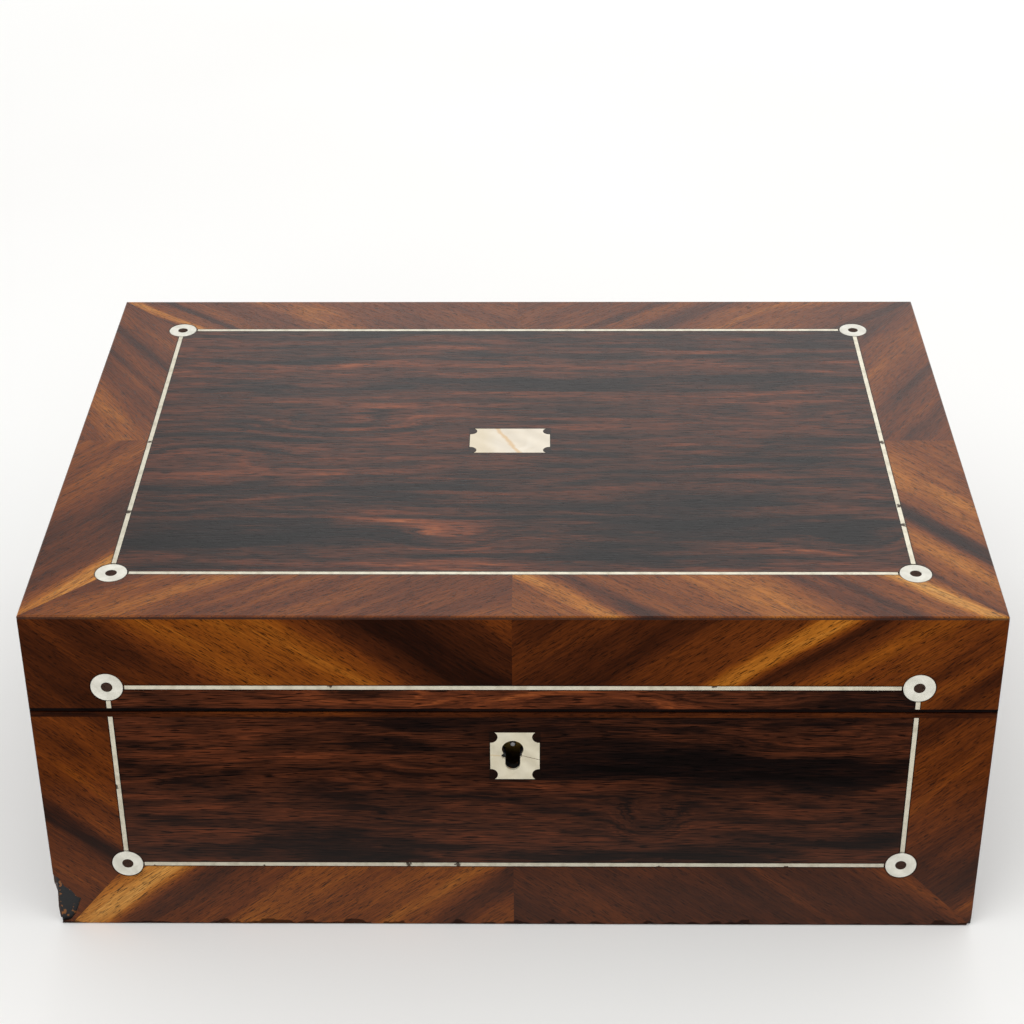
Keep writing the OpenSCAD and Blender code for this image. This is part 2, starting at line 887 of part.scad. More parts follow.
// Velvet-covered pads on the tray's floor, one in each compartment
module tray_pads() {
    low = tray_z + tray_floor_t;
    side_rows = [
        [-tray_in_d, -small_divider_y - divider_t / 2],
        [-small_divider_y + divider_t / 2, small_divider_y - divider_t / 2],
        [small_divider_y + divider_t / 2, tray_in_d]
    ];
    color("#7c2230") {
        block([-middle_half + pad_inset, -tray_in_d + pad_inset, low],
            [middle_half - pad_inset, tray_in_d - pad_inset, low + pad_t]);
        pair() for (row = side_rows)
            block([-tray_in_w + pad_inset, row[0] + pad_inset, low],
                [-middle_half - divider_t - pad_inset, row[1] - pad_inset, low + pad_t]);
    }
}

// Silk ribbon loops that the tray is lifted out by, glued inside its end walls
module tray_ribbons() {
    low = tray_z + tray_floor_t + pad_t + 4;
    r = ribbon_loop;
    color("#7c2230") pair() translate([-tray_in_w + JOINT, ribbon_w / 2, 0])
        rotate([90, 0, 0]) linear_extrude(ribbon_w) {
            translate([0, low]) square([ribbon_t, tray_top - low]);
            translate([r, tray_top]) intersection() {
                difference() {
                    circle(r = r);
                    circle(r = r - ribbon_t);
                }
                translate([-r, 0]) square([2 * r, r]);
            }
            translate([2 * r - ribbon_t, low]) square([ribbon_t, tray_top - low]);
        }
}

// ---------- what is drawn ----------

base_front_board();
base_back_board();
base_side_boards();
base_bottom_board();
base_front_panel();
base_band_bottom_left();
base_band_bottom_right();
base_band_left();
base_band_right();
base_side_veneers();
base_back_veneer();
base_rim_lipping();
base_stringing();
base_roundels();
base_roundel_dots();
escutcheon();
lock_case();
lock_plate();
lock_drill_pin();
lock_lever();
lock_bolt();
base_screws();
hinge_base_leaves();
hinge_pins();
tray_shelves();
base_floor_pad();
lid_front_board();
lid_back_board();
lid_side_boards();
lid_top_board();
top_panel();
top_band_back_left();
top_band_back_right();
top_band_front_left();
top_band_front_right();
top_band_left_back();
top_band_left_front();
top_band_right_back();
top_band_right_front();
lid_band_front_left();
lid_band_front_right();
lid_band_left();
lid_band_right();
lid_front_strip();
lid_side_veneers();
lid_back_veneer();
lid_rim_lipping();
lid_stringing();
lid_roundels();
lid_roundel_dots();
cartouche();
link_plate();
lid_screws();
hinge_lid_leaves();
lid_lining_pad();
tray_floor();
tray_walls();
tray_dividers();
tray_pads();
tray_ribbons();
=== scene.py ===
"""Looks of a rosewood box: crossbanding, string and shell inlay, brass fittings, lining, tray."""

import logging
import math
from dataclasses import dataclass, field
from enum import Enum
from typing import Any, Mapping

import bpy
from mathutils import Matrix, Vector


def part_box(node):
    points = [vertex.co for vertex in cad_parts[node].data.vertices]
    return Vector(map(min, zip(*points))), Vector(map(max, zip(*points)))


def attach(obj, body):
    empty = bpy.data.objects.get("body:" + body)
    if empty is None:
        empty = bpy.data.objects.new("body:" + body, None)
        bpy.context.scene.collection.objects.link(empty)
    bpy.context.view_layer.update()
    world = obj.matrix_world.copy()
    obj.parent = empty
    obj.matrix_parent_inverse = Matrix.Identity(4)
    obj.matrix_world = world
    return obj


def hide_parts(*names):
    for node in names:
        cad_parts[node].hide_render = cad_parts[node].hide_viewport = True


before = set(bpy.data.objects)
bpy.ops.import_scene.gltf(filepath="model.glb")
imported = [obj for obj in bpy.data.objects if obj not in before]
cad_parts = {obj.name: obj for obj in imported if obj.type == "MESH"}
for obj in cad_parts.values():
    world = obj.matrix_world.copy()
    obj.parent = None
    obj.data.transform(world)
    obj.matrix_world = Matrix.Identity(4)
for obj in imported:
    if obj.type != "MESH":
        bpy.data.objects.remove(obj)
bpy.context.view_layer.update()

LOG = logging.getLogger("rosewood_box")
MM = 0.001


# ---------------------------------------------------------------- shared helpers


def linear(code: str) -> tuple[float, float, float, float]:
    """Turns an sRGB hex colour into linear light.

    Args:
        code: the colour, such as "#7a4526".

    Returns:
        Red, green, blue and an alpha of 1.
    """
    parts = [int(code[i : i + 2], 16) / 255 for i in (1, 3, 5)]
    light = [c / 12.92 if c <= 0.04045 else ((c + 0.055) / 1.055) ** 2.4 for c in parts]
    return (light[0], light[1], light[2], 1.0)


def add(
    tree: bpy.types.NodeTree, kind: str, links: Mapping[Any, Any] | None = None, **settings: Any
) -> bpy.types.Node:
    """Adds one node to a tree.

    Args:
        tree: the material's node tree.
        kind: the node's type name, without "ShaderNode".
        links: input name or number to the socket that feeds it, or to its plain value.
        settings: the node's own settings, such as operation="ADD".

    Returns:
        The new node.
    """
    node = tree.nodes.new("ShaderNode" + kind)
    for key, value in settings.items():
        setattr(node, key, value)
    for key, value in (links or {}).items():
        if isinstance(value, bpy.types.NodeSocket):
            tree.links.new(value, node.inputs[key])
        else:
            node.inputs[key].default_value = value
    return node


def ramp(node: bpy.types.Node, stops: tuple[tuple[float, str], ...]) -> bpy.types.NodeSocket:
    """Sets a colour ramp's stops.

    Args:
        node: the Color Ramp node.
        stops: each stop's place from 0 to 1 and its hex colour.

    Returns:
        The ramp's colour output.
    """
    elements = node.color_ramp.elements
    while len(elements) < len(stops):
        elements.new(1.0)
    for element, (place, code) in zip(elements, stops):
        element.position = place
        element.color = linear(code)
    return node.outputs["Color"]


def new_tree(name: str) -> tuple[bpy.types.Material, bpy.types.NodeTree]:
    """Makes an empty node material.

    Args:
        name: the finish's name.

    Returns:
        The material and its node tree.
    """
    material = bpy.data.materials.new(name)
    material.use_nodes = True
    material.node_tree.nodes.clear()
    return material, material.node_tree


def close_tree(tree: bpy.types.NodeTree, shader: bpy.types.Node) -> None:
    """Joins the surface shader to the material's output."""
    add(tree, "OutputMaterial", {"Surface": shader.outputs[0]})


def dress(obj: bpy.types.Object, material: bpy.types.Material) -> None:
    """Gives an object one material all over."""
    obj.data.materials.clear()
    obj.data.materials.append(material)


def dress_node(name: str, material: bpy.types.Material) -> None:
    """Gives a CAD node one material, and leaves its mesh alone.

    Args:
        name: the CAD node.
        material: what it is made of.
    """
    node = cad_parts[name]
    for slot in node.material_slots:
        slot.material = material
    if not node.material_slots:
        node.data.materials.append(material)
    LOG.info("dressed %s in %s", name, material.name)


def ease_edges(name: str, width: float) -> None:
    """Rounds a CAD node's sharp edges with live modifiers.

    Args:
        name: the CAD node.
        width: how much of each edge is taken off, in metres.
    """
    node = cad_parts[name]
    weld = node.modifiers.new("weld", "WELD")
    weld.merge_threshold = 1e-6
    bevel = node.modifiers.new("eased_edges", "BEVEL")
    bevel.width = width
    bevel.segments = 2
    bevel.limit_method = "ANGLE"
    bevel.angle_limit = math.radians(35)
    bevel.use_clamp_overlap = True


def select_only(obj: bpy.types.Object) -> None:
    """Makes one object the active one, with nothing else selected.

    Args:
        obj: the object.
    """
    bpy.ops.object.select_all(action="DESELECT")
    obj.select_set(True)
    bpy.context.view_layer.objects.active = obj


def edit_all(obj: bpy.types.Object) -> None:
    """Opens one object in edit mode with everything in it selected.

    Args:
        obj: the object.
    """
    select_only(obj)
    bpy.ops.object.mode_set(mode="EDIT")
    bpy.ops.mesh.select_all(action="SELECT")


def leave_edit() -> None:
    """Goes back to object mode."""
    bpy.ops.object.mode_set(mode="OBJECT")


def place_in_mesh(obj: bpy.types.Object) -> None:
    """Moves an object's place, turn and size into its mesh.

    Args:
        obj: the object.
    """
    select_only(obj)
    bpy.ops.object.transform_apply(location=True, rotation=True, scale=True)


def apply_modifiers(obj: bpy.types.Object) -> None:
    """Applies each of an object's modifiers in turn.

    Args:
        obj: the object.
    """
    select_only(obj)
    for modifier in list(obj.modifiers):
        bpy.ops.object.modifier_apply(modifier=modifier.name)


def smooth(obj: bpy.types.Object, degrees: float = 40) -> None:
    """Shades an object smooth where its faces meet at less than an angle.

    Args:
        obj: the object.
        degrees: the angle.
    """
    select_only(obj)
    bpy.ops.object.shade_smooth_by_angle(angle=math.radians(degrees))


def joined(pieces: list[bpy.types.Object], name: str) -> bpy.types.Object:
    """Joins several objects into one.

    Args:
        pieces: the objects, each with its place in its mesh.
        name: the joined piece's name.

    Returns:
        The joined object.
    """
    bpy.ops.object.select_all(action="DESELECT")
    for piece in pieces:
        piece.select_set(True)
    bpy.context.view_layer.objects.active = pieces[0]
    if len(pieces) > 1:
        bpy.ops.object.join()
    pieces[0].name = name
    pieces[0].data.name = name
    return pieces[0]


# ---------------------------------------------------------------- wood


class Face(Enum):
    """A face of the box: its directions to the right and up, seen square on."""

    FRONT = ((1.0, 0.0, 0.0), (0.0, 0.0, 1.0))
    TOP = ((1.0, 0.0, 0.0), (0.0, 1.0, 0.0))
    SIDE = ((0.0, 1.0, 0.0), (0.0, 0.0, 1.0))
    BACK = ((-1.0, 0.0, 0.0), (0.0, 0.0, 1.0))

    @property
    def out_mm(self) -> float:
        """Distance of this face of the box from its middle, or its height, in mm."""
        return {Face.TOP: 122.0, Face.SIDE: 150.0}.get(self, 108.0)

    def directions(self, degrees: float) -> tuple[Vector, Vector, Vector]:
        """Directions of a grain that is turned on this face.

        Args:
            degrees: the grain's angle above the face's right-hand direction.

        Returns:
            Unit vectors along the grain, across it, and out of the face.
        """
        right, up = Vector(self.value[0]), Vector(self.value[1])
        angle = math.radians(degrees)
        along = right * math.cos(angle) + up * math.sin(angle)
        across = up * math.cos(angle) - right * math.sin(angle)
        return along, across, along.cross(across)

    def spot(self, x: float, y: float) -> Vector:
        """A point of the face in millimetres, from its distance to the right and up."""
        return Vector(self.value[0]) * x + Vector(self.value[1]) * y


@dataclass(frozen=True)
class Patch:
    """A lighter or darker stretch of wood that follows the grain.

    x and y are its middle on the face in mm, across and along its half sizes in mm, and tone how
    much it lightens (above 0) or darkens (below 0) the wood.
    """

    x: float
    y: float
    across: float
    tone: float
    along: float = 400.0


@dataclass(frozen=True)
class Knot:
    """A place where the grain swells round an eye. All sizes are in mm."""

    x: float
    y: float
    along: float
    across: float
    lift: float


@dataclass(frozen=True)
class StainAndShade:
    """A round place painted nearly black: old filler, and painted shade in the keyhole; its middle
    and its reach, in mm.
    """

    x: float
    y: float
    z: float
    reach: float


@dataclass(frozen=True)
class Species:
    """A kind of wood: its colours from dark to light, and how its bands, streaks and pores show.

    band_mm is the spacing of the growth bands, rings how far they show, streaks and hairs how far
    the wide and the narrow streaks show, and fibre how far the fibres do. pore_mm is a pore's
    length and width, and a higher pore_edge makes pores rarer.
    """

    name: str
    colours: tuple[tuple[float, str], ...]
    pore_colour: str
    pore_edge: float
    pore_mm: tuple[float, float]
    band_mm: float
    rings: float
    streaks: float
    hairs: float
    fibre: float


# Brazilian rosewood cut from near the sapwood: brown and orange to gold, in wide soft stretches.
ROSEWOOD = Species(
    "rosewood",
    (
        (0.0, "#0c0401"), (0.16, "#220c04"), (0.32, "#421d09"), (0.48, "#632f0d"),
        (0.62, "#7e420f"), (0.78, "#a5631e"), (0.9, "#c4883e"), (1.0, "#d6a45c"),
    ),
    "#120602", 0.58, (2.8, 0.23), 16.0, 0.03, 0.36, 0.24, 0.32,
)
# The same wood from the heart of the log, blue-black and red in narrow wild bands, for the panels.
HEART_ROSEWOOD = Species(
    "heart_rosewood",
    (
        (0.0, "#050302"), (0.22, "#0f0706"), (0.36, "#200f09"), (0.5, "#3f1f11"),
        (0.64, "#582b17"), (0.78, "#72391d"), (0.9, "#8c4a25"), (1.0, "#9e592f"),
    ),
    "#020101", 0.57, (7.0, 0.5), 8.0, 0.08, 0.95, 0.85, 0.45,
)
# Cuban mahogany for the carcass: even red-brown with short pores.
MAHOGANY = Species(
    "mahogany",
    (
        (0.0, "#3a170c"), (0.3, "#572615"), (0.5, "#6c331c"), (0.7, "#7f4226"), (1.0, "#98583a"),
    ),
    "#2a0f08", 0.62, (2.5, 0.3), 20.0, 0.03, 0.3, 0.2, 0.25,
)
# Ebony for the dots: black-brown, almost without figure.
EBONY = Species(
    "ebony",
    ((0.0, "#120c0a"), (0.5, "#2a1e1a"), (1.0, "#4a362c")),
    "#080505", 0.62, (1.5, 0.3), 6.0, 0.02, 0.3, 0.3, 0.3,
)


@dataclass(frozen=True)
class Polish:
    """French polish: its gloss, its roughness, and how far the grain stands through it."""

    shine: float
    roughness: float
    relief: float


# The top has kept its polish, so it mirrors the room; the front is rubbed dull by hands.
TOP_POLISH = Polish(0.17, 0.28, 0.35)
FRONT_POLISH = Polish(0.02, 0.42, 0.4)
SIDE_POLISH = Polish(0.35, 0.34, 0.35)
INSIDE_POLISH = Polish(0.3, 0.45, 0.3)
FACE_POLISH = {
    Face.TOP: TOP_POLISH, Face.FRONT: FRONT_POLISH, Face.SIDE: SIDE_POLISH, Face.BACK: SIDE_POLISH,
}


@dataclass(frozen=True)
class GlueLine:
    """The dark glue and grime round a rectangle let into a face, with sizes in mm.

    middle and half are the rectangle's middle and half sizes, across and up the face. line_half is
    half the width of the string that runs round it, or 0 where the whole rectangle is filled, and
    corner_r the radius of the roundels at its corners. The glue is darkest within full_mm of the
    inlay, covers deepest of the wood there, and is gone at none_mm.
    """

    middle: tuple[float, float]
    half: tuple[float, float]
    line_half: float = 0.0
    corner_r: float = 0.0
    full_mm: float = 0.15
    none_mm: float = 0.5
    deepest: float = 0.7

    def paint(self, tree: bpy.types.NodeTree, face: Face, colour: Any) -> Any:
        """Darkens the wood that lies close to the inlay.

        Args:
            tree: the material's node tree.
            face: the face of the box that the inlay lies in.
            colour: the socket with the clean wood's colour.

        Returns:
            The socket with the colour of the wood and its glue line.
        """
        place = add(tree, "TexCoord").outputs["Object"]
        past = []
        for direction, middle, half in zip(face.value, self.middle, self.half):
            spot = add(
                tree, "VectorMath", {0: place, 1: tuple(Vector(direction) / MM)},
                operation="DOT_PRODUCT",
            )
            off = add(tree, "Math", {0: spot.outputs["Value"], 1: middle}, operation="SUBTRACT")
            away = add(tree, "Math", {0: off.outputs[0]}, operation="ABSOLUTE")
            past.append(
                add(tree, "Math", {0: away.outputs[0], 1: half}, operation="SUBTRACT").outputs[0]
            )
        near = add(tree, "Math", {0: past[0], 1: past[1]}, operation="MAXIMUM").outputs[0]
        if self.line_half:
            near = add(tree, "Math", {0: near}, operation="ABSOLUTE").outputs[0]
            near = add(tree, "Math", {0: near, 1: self.line_half}, operation="SUBTRACT").outputs[0]
        if self.corner_r:
            corner = add(tree, "CombineXYZ", {0: past[0], 1: past[1]})
            reach = add(tree, "VectorMath", {0: corner.outputs[0]}, operation="LENGTH")
            ring = add(
                tree, "Math", {0: reach.outputs["Value"], 1: self.corner_r}, operation="SUBTRACT"
            )
            near = add(tree, "Math", {0: near, 1: ring.outputs[0]}, operation="MINIMUM").outputs[0]
        share = add(
            tree, "MapRange",
            {"Value": near, "From Min": self.none_mm, "From Max": self.full_mm,
             "To Max": self.deepest},
        )
        return add(
            tree, "Mix", {0: share.outputs[0], 6: colour, 7: linear("#120a07")}, data_type="RGBA"
        ).outputs[2]


@dataclass(frozen=True)
class Timber:
    """The finish of one piece of wood: its species, how its grain lies, and its own figure."""

    name: str
    species: Species
    polish: Polish
    face: Face
    grain_deg: float
    tone: float
    seed: float
    patches: tuple[Patch, ...] = ()
    knots: tuple[Knot, ...] = ()
    contrast: float = 1.0
    wander_mm: float = 5.0
    face_mm: float = 0.0
    stains_and_shade: tuple[StainAndShade, ...] = ()
    glue_lines: tuple[GlueLine, ...] = ()

    def _grain_space(self, tree: bpy.types.NodeTree) -> tuple[Any, Any, Any]:
        """Measures how far each point lies along, across and out of the grain.

        Args:
            tree: the material's node tree.

        Returns:
            Three sockets, in mm.
        """
        place = add(tree, "TexCoord").outputs["Object"]
        sockets = []
        for direction in self.face.directions(self.grain_deg):
            dot = add(
                tree, "VectorMath", {0: place, 1: tuple(direction / MM)}, operation="DOT_PRODUCT"
            )
            sockets.append(dot.outputs["Value"])
        return sockets[0], sockets[1], sockets[2]

    def _bell(
        self, tree: bpy.types.NodeTree, u: Any, v: Any, middle: tuple[float, float],
        half: tuple[float, float], height: float,
    ) -> Any:
        """A soft oval hill in grain space, with a rounded top and steeper sides.

        Args:
            tree: the material's node tree.
            u: the socket that gives the distance along the grain.
            v: the socket that gives the distance across it.
            middle: the hill's middle, along and across, in mm.
            half: its half sizes, along and across, in mm.
            height: its height at the middle.

        Returns:
            The socket that holds the hill.
        """
        squares = []
        for socket, centre, size in ((u, middle[0], half[0]), (v, middle[1], half[1])):
            off = add(tree, "Math", {0: socket, 1: centre}, operation="SUBTRACT")
            share = add(tree, "Math", {0: off.outputs[0], 1: size}, operation="DIVIDE")
            squares.append(
                add(tree, "Math", {0: share.outputs[0], 1: 2.0}, operation="POWER").outputs[0]
            )
        total = add(tree, "Math", {0: squares[0], 1: squares[1]}, operation="ADD")
        steep = add(tree, "Math", {0: total.outputs[0], 1: 1.5}, operation="POWER")
        fall = add(tree, "Math", {0: steep.outputs[0], 1: -1.0}, operation="MULTIPLY")
        bell = add(tree, "Math", {0: math.e, 1: fall.outputs[0]}, operation="POWER")
        return add(tree, "Math", {0: bell.outputs[0], 1: height}, operation="MULTIPLY").outputs[0]

    def _noise(
        self, tree: bpy.types.NodeTree, uvw: tuple[Any, Any, Any], size: tuple[float, float],
        detail: float, offset: float,
    ) -> Any:
        """Noise stretched along the grain.

        Args:
            tree: the material's node tree.
            uvw: sockets along, across and out of the grain, in mm.
            size: the pattern's size along and across the grain, in mm.
            detail: how many finer layers it has.
            offset: sets this noise apart from the others.

        Returns:
            A socket from 0 to 1, around 0.5.
        """
        point = add(tree, "CombineXYZ", {0: uvw[0], 1: uvw[1], 2: uvw[2]})
        shrunk = add(
            tree, "VectorMath",
            {0: point.outputs[0], 1: (1 / size[0], 1 / size[1], 1 / size[1])},
            operation="MULTIPLY",
        )
        moved = add(
            tree, "VectorMath",
            {0: shrunk.outputs[0], 1: (self.seed * 7.3 + offset, self.seed * 3.1, offset)},
            operation="ADD",
        )
        noise = add(
            tree, "TexNoise",
            {"Vector": moved.outputs[0], "Scale": 1.0, "Detail": detail, "Roughness": 0.55},
        )
        return noise.outputs[0]

    def material(self) -> bpy.types.Material:
        """Builds the node material.

        Returns:
            The material.
        """
        material, tree = new_tree(self.name)
        u, v, w = self._grain_space(tree)

        # The grain wanders slowly from side to side, and swells round each knot.
        wander = self._noise(tree, (u, v, w), (85.0, 26.0), 2.0, 11.0)
        centred = add(tree, "Math", {0: wander, 1: 0.5}, operation="SUBTRACT")
        shift = add(
            tree, "Math", {0: centred.outputs[0], 1: 2 * self.wander_mm}, operation="MULTIPLY"
        ).outputs[0]
        for knot in self.knots:
            middle = self._in_grain(knot.x, knot.y)
            hill = self._bell(tree, u, v, middle, (knot.along, knot.across), knot.lift)
            shift = add(tree, "Math", {0: shift, 1: hill}, operation="ADD").outputs[0]
        line = add(tree, "Math", {0: v, 1: shift}, operation="ADD").outputs[0]

        # Ragged edges: each streak's border runs in and out along the fibres.
        rag = self._noise(tree, (u, v, w), (22.0, 1.4), 2.0, 13.0)
        line = add(
            tree, "Math", {0: rag, 1: self.species.hairs * 6, 2: line}, operation="MULTIPLY_ADD"
        ).outputs[0]

        # Growth bands, wide streaks and hairlines make the figure.
        warp = self._noise(tree, (u, v, w), (110.0, 30.0), 1.0, 37.0)
        turns = add(tree, "Math", {0: line, 1: self.species.band_mm}, operation="DIVIDE")
        phase = add(
            tree, "Math", {0: warp, 1: 5.0, 2: turns.outputs[0]}, operation="MULTIPLY_ADD"
        )
        angle = add(tree, "Math", {0: phase.outputs[0], 1: 2 * math.pi}, operation="MULTIPLY")
        rings = add(tree, "Math", {0: angle.outputs[0]}, operation="SINE").outputs[0]
        streaks = self._noise(tree, (u, line, w), (80.0, self.species.band_mm * 0.6), 4.0, 3.0)
        hairs = self._noise(tree, (u, line, w), (19.0, 1.2), 3.0, 5.0)
        clouds = self._noise(tree, (u, line, w), (48.0, 15.0), 3.0, 7.0)
        figure = self.tone
        for socket, share, middle in (
            (rings, self.species.rings, 0.0), (streaks, self.species.streaks, 0.5),
            (clouds, self.species.streaks * 0.7, 0.5), (hairs, self.species.hairs, 0.5),
        ):
            off = add(tree, "Math", {0: socket, 1: middle}, operation="SUBTRACT")
            part = add(
                tree, "Math", {0: off.outputs[0], 1: share * self.contrast}, operation="MULTIPLY"
            )
            figure = add(tree, "Math", {0: figure, 1: part.outputs[0]}, operation="ADD").outputs[0]
        for patch in self.patches:
            hill = self._bell(
                tree, u, line, self._in_grain(patch.x, patch.y),
                (patch.along, patch.across), patch.tone,
            )
            figure = add(tree, "Math", {0: figure, 1: hill}, operation="ADD").outputs[0]
        colour = ramp(add(tree, "ValToRGB", {"Fac": figure}), self.species.colours)

        # Fibres, drawn about twice as coarse as real ones so that they show.
        fibres = self._noise(tree, (u, v, w), (9.0, 0.45), 2.0, 19.0)
        depth = add(
            tree, "MapRange",
            {"Value": fibres, "From Min": 0.3, "From Max": 0.7,
             "To Min": 1 - self.species.fibre, "To Max": 1 + self.species.fibre * 0.6},
        )
        shaded = add(
            tree, "VectorMath", {0: colour, "Scale": depth.outputs[0]}, operation="SCALE"
        )

        # Open pores: short dark dashes along the grain, where the polish has sunk.
        dashes = self._noise(tree, (u, v, w), self.species.pore_mm, 1.0, 29.0)
        edge = self.species.pore_edge
        pores = add(
            tree, "MapRange",
            {"Value": dashes, "From Min": edge, "From Max": edge + 0.08},
        )
        dark = add(tree, "Math", {0: pores.outputs[0], 1: 0.85}, operation="MULTIPLY")
        pored = add(
            tree, "Mix",
            {0: dark.outputs[0], 6: shaded.outputs[0], 7: linear(self.species.pore_colour)},
            data_type="RGBA",
        ).outputs[2]
        if self.face_mm:
            pored = self._dark_arris(tree, w, pored)
        if self.face is Face.FRONT and self.face_mm:
            pored = self._grimed_foot(tree, self._bloomed(tree, pored))
        for line in self.glue_lines:
            pored = line.paint(tree, self.face, pored)
        # Old filler, and painted shade in the keyhole, as nearly black spots.
        for dark_spot in self.stains_and_shade:
            pored = self._stain_and_shade(tree, pored, dark_spot)

        rough = add(
            tree, "MapRange",
            {"Value": fibres, "From Min": 0.3, "From Max": 0.7,
             "To Min": self.polish.roughness - 0.05, "To Max": self.polish.roughness + 0.07},
        )
        low = add(tree, "Math", {0: pores.outputs[0], 1: -0.8}, operation="MULTIPLY")
        high = add(tree, "Math", {0: fibres, 1: 0.35, 2: low.outputs[0]}, operation="MULTIPLY_ADD")
        bump = add(
            tree, "Bump",
            {"Strength": self.polish.relief, "Distance": 0.00012, "Height": high.outputs[0]},
        )
        shader = add(
            tree, "BsdfPrincipled",
            {"Base Color": pored, "Roughness": rough.outputs[0], "IOR": 1.5,
             "Specular IOR Level": self.polish.shine, "Normal": bump.outputs[0]},
        )
        close_tree(tree, shader)
        return material

    def _in_grain(self, x: float, y: float) -> tuple[float, float]:
        """Turns a point of the face into distances along and across the grain.

        Args:
            x: its distance to the right on the face, in mm.
            y: its distance up the face, in mm.

        Returns:
            The two distances, in mm.
        """
        along, across, _ = self.face.directions(self.grain_deg)
        spot = self.face.spot(x, y)
        return spot.dot(along), spot.dot(across)

    def _bloomed(self, tree: bpy.types.NodeTree, colour: Any) -> Any:
        """Greys the foot of the front, where dust and old wax have bloomed.

        Args:
            tree: the material's node tree.
            colour: the socket with the clean wood's colour.

        Returns:
            The socket with the bloomed wood's colour.
        """
        place = add(tree, "TexCoord").outputs["Object"]
        height = add(tree, "SeparateXYZ", {0: place}).outputs[2]
        share = add(
            tree, "MapRange",
            {"Value": height, "From Min": 62 * MM, "From Max": 12 * MM, "To Max": 0.10},
        )
        return add(
            tree, "Mix", {0: share.outputs[0], 6: colour, 7: linear("#756e6a")}, data_type="RGBA"
        ).outputs[2]

    def _grimed_foot(self, tree: bpy.types.NodeTree, colour: Any) -> Any:
        """Blackens the lowest edge of the front in places, where it has rubbed on shelves.

        Args:
            tree: the material's node tree.
            colour: the socket with the clean wood's colour.

        Returns:
            The socket with the colour of the wood and its worn foot.
        """
        place = add(tree, "TexCoord").outputs["Object"]
        height = add(tree, "SeparateXYZ", {0: place}).outputs[2]
        wear = add(tree, "TexNoise", {"Vector": place, "Scale": 140.0, "Detail": 2.0})
        reach = add(
            tree, "MapRange",
            {"Value": wear.outputs[0], "From Min": 0.4, "From Max": 0.65, "To Max": 2.6 * MM},
        )
        below = add(tree, "Math", {0: reach.outputs[0], 1: height}, operation="SUBTRACT")
        share = add(
            tree, "MapRange", {"Value": below.outputs[0], "From Max": 0.3 * MM, "To Max": 0.75}
        )
        return add(
            tree, "Mix", {0: share.outputs[0], 6: colour, 7: linear("#140d0a")}, data_type="RGBA"
        ).outputs[2]

    def _dark_arris(self, tree: bpy.types.NodeTree, w: Any, colour: Any) -> Any:
        """Darkens the wood over the rounded edge, where it falls below the face.

        Args:
            tree: the material's node tree.
            w: the socket with the distance out from the box's middle, in mm.
            colour: the socket with the clean wood's colour.

        Returns:
            The socket with the colour of the wood and its dark edge.
        """
        out = add(tree, "Math", {0: w}, operation="ABSOLUTE")
        edge = add(
            tree, "MapRange",
            {"Value": out.outputs[0], "From Min": self.face_mm - 0.12,
             "From Max": self.face_mm - 0.5, "To Max": 0.8},
        )
        return add(
            tree, "Mix", {0: edge.outputs[0], 6: colour, 7: linear("#1d0b05")}, data_type="RGBA"
        ).outputs[2]

    def _stain_and_shade(self, tree: bpy.types.NodeTree, colour: Any, dark_spot: StainAndShade) -> Any:
        """Blackens the wood round a spot, with flecks of bare wood left in it, for old filler and
        for painted shade in a recess.

        Args:
            tree: the material's node tree.
            colour: the socket with the clean wood's colour.
            dark_spot: the spot, of filler or of painted shade.

        Returns:
            The socket with the darkened wood's colour.
        """
        middle = (dark_spot.x * MM, dark_spot.y * MM, dark_spot.z * MM)
        place = add(tree, "TexCoord").outputs["Object"]
        far = add(tree, "VectorMath", {0: place, 1: middle}, operation="DISTANCE")
        flecks = add(tree, "TexNoise", {"Vector": place, "Scale": 380.0, "Detail": 3.0})
        wood = add(
            tree, "MapRange", {"Value": flecks.outputs[0], "From Min": 0.6, "From Max": 0.64}
        )
        inside = add(
            tree, "MapRange",
            {"Value": far.outputs["Value"], "From Min": dark_spot.reach * MM,
             "From Max": (dark_spot.reach - 3) * MM},
        )
        fill = add(
            tree, "Mix", {0: wood.outputs[0], 6: linear("#141517"), 7: linear("#7d4c20")},
            data_type="RGBA",
        )
        return add(
            tree, "Mix", {0: inside.outputs[0], 6: colour, 7: fill.outputs[2]}, data_type="RGBA"
        ).outputs[2]


# ---------------------------------------------------------------- shell, metal and cloth


@dataclass(frozen=True)
class Flaw:
    """A crack or a stained vein in shell, from a point and towards another, in mm.

    sway is how far it wanders to each side, and share how far its colour covers the shell.
    """

    start: tuple[float, float, float]
    end: tuple[float, float, float]
    half_width: float
    sway: float
    colour: str
    share: float


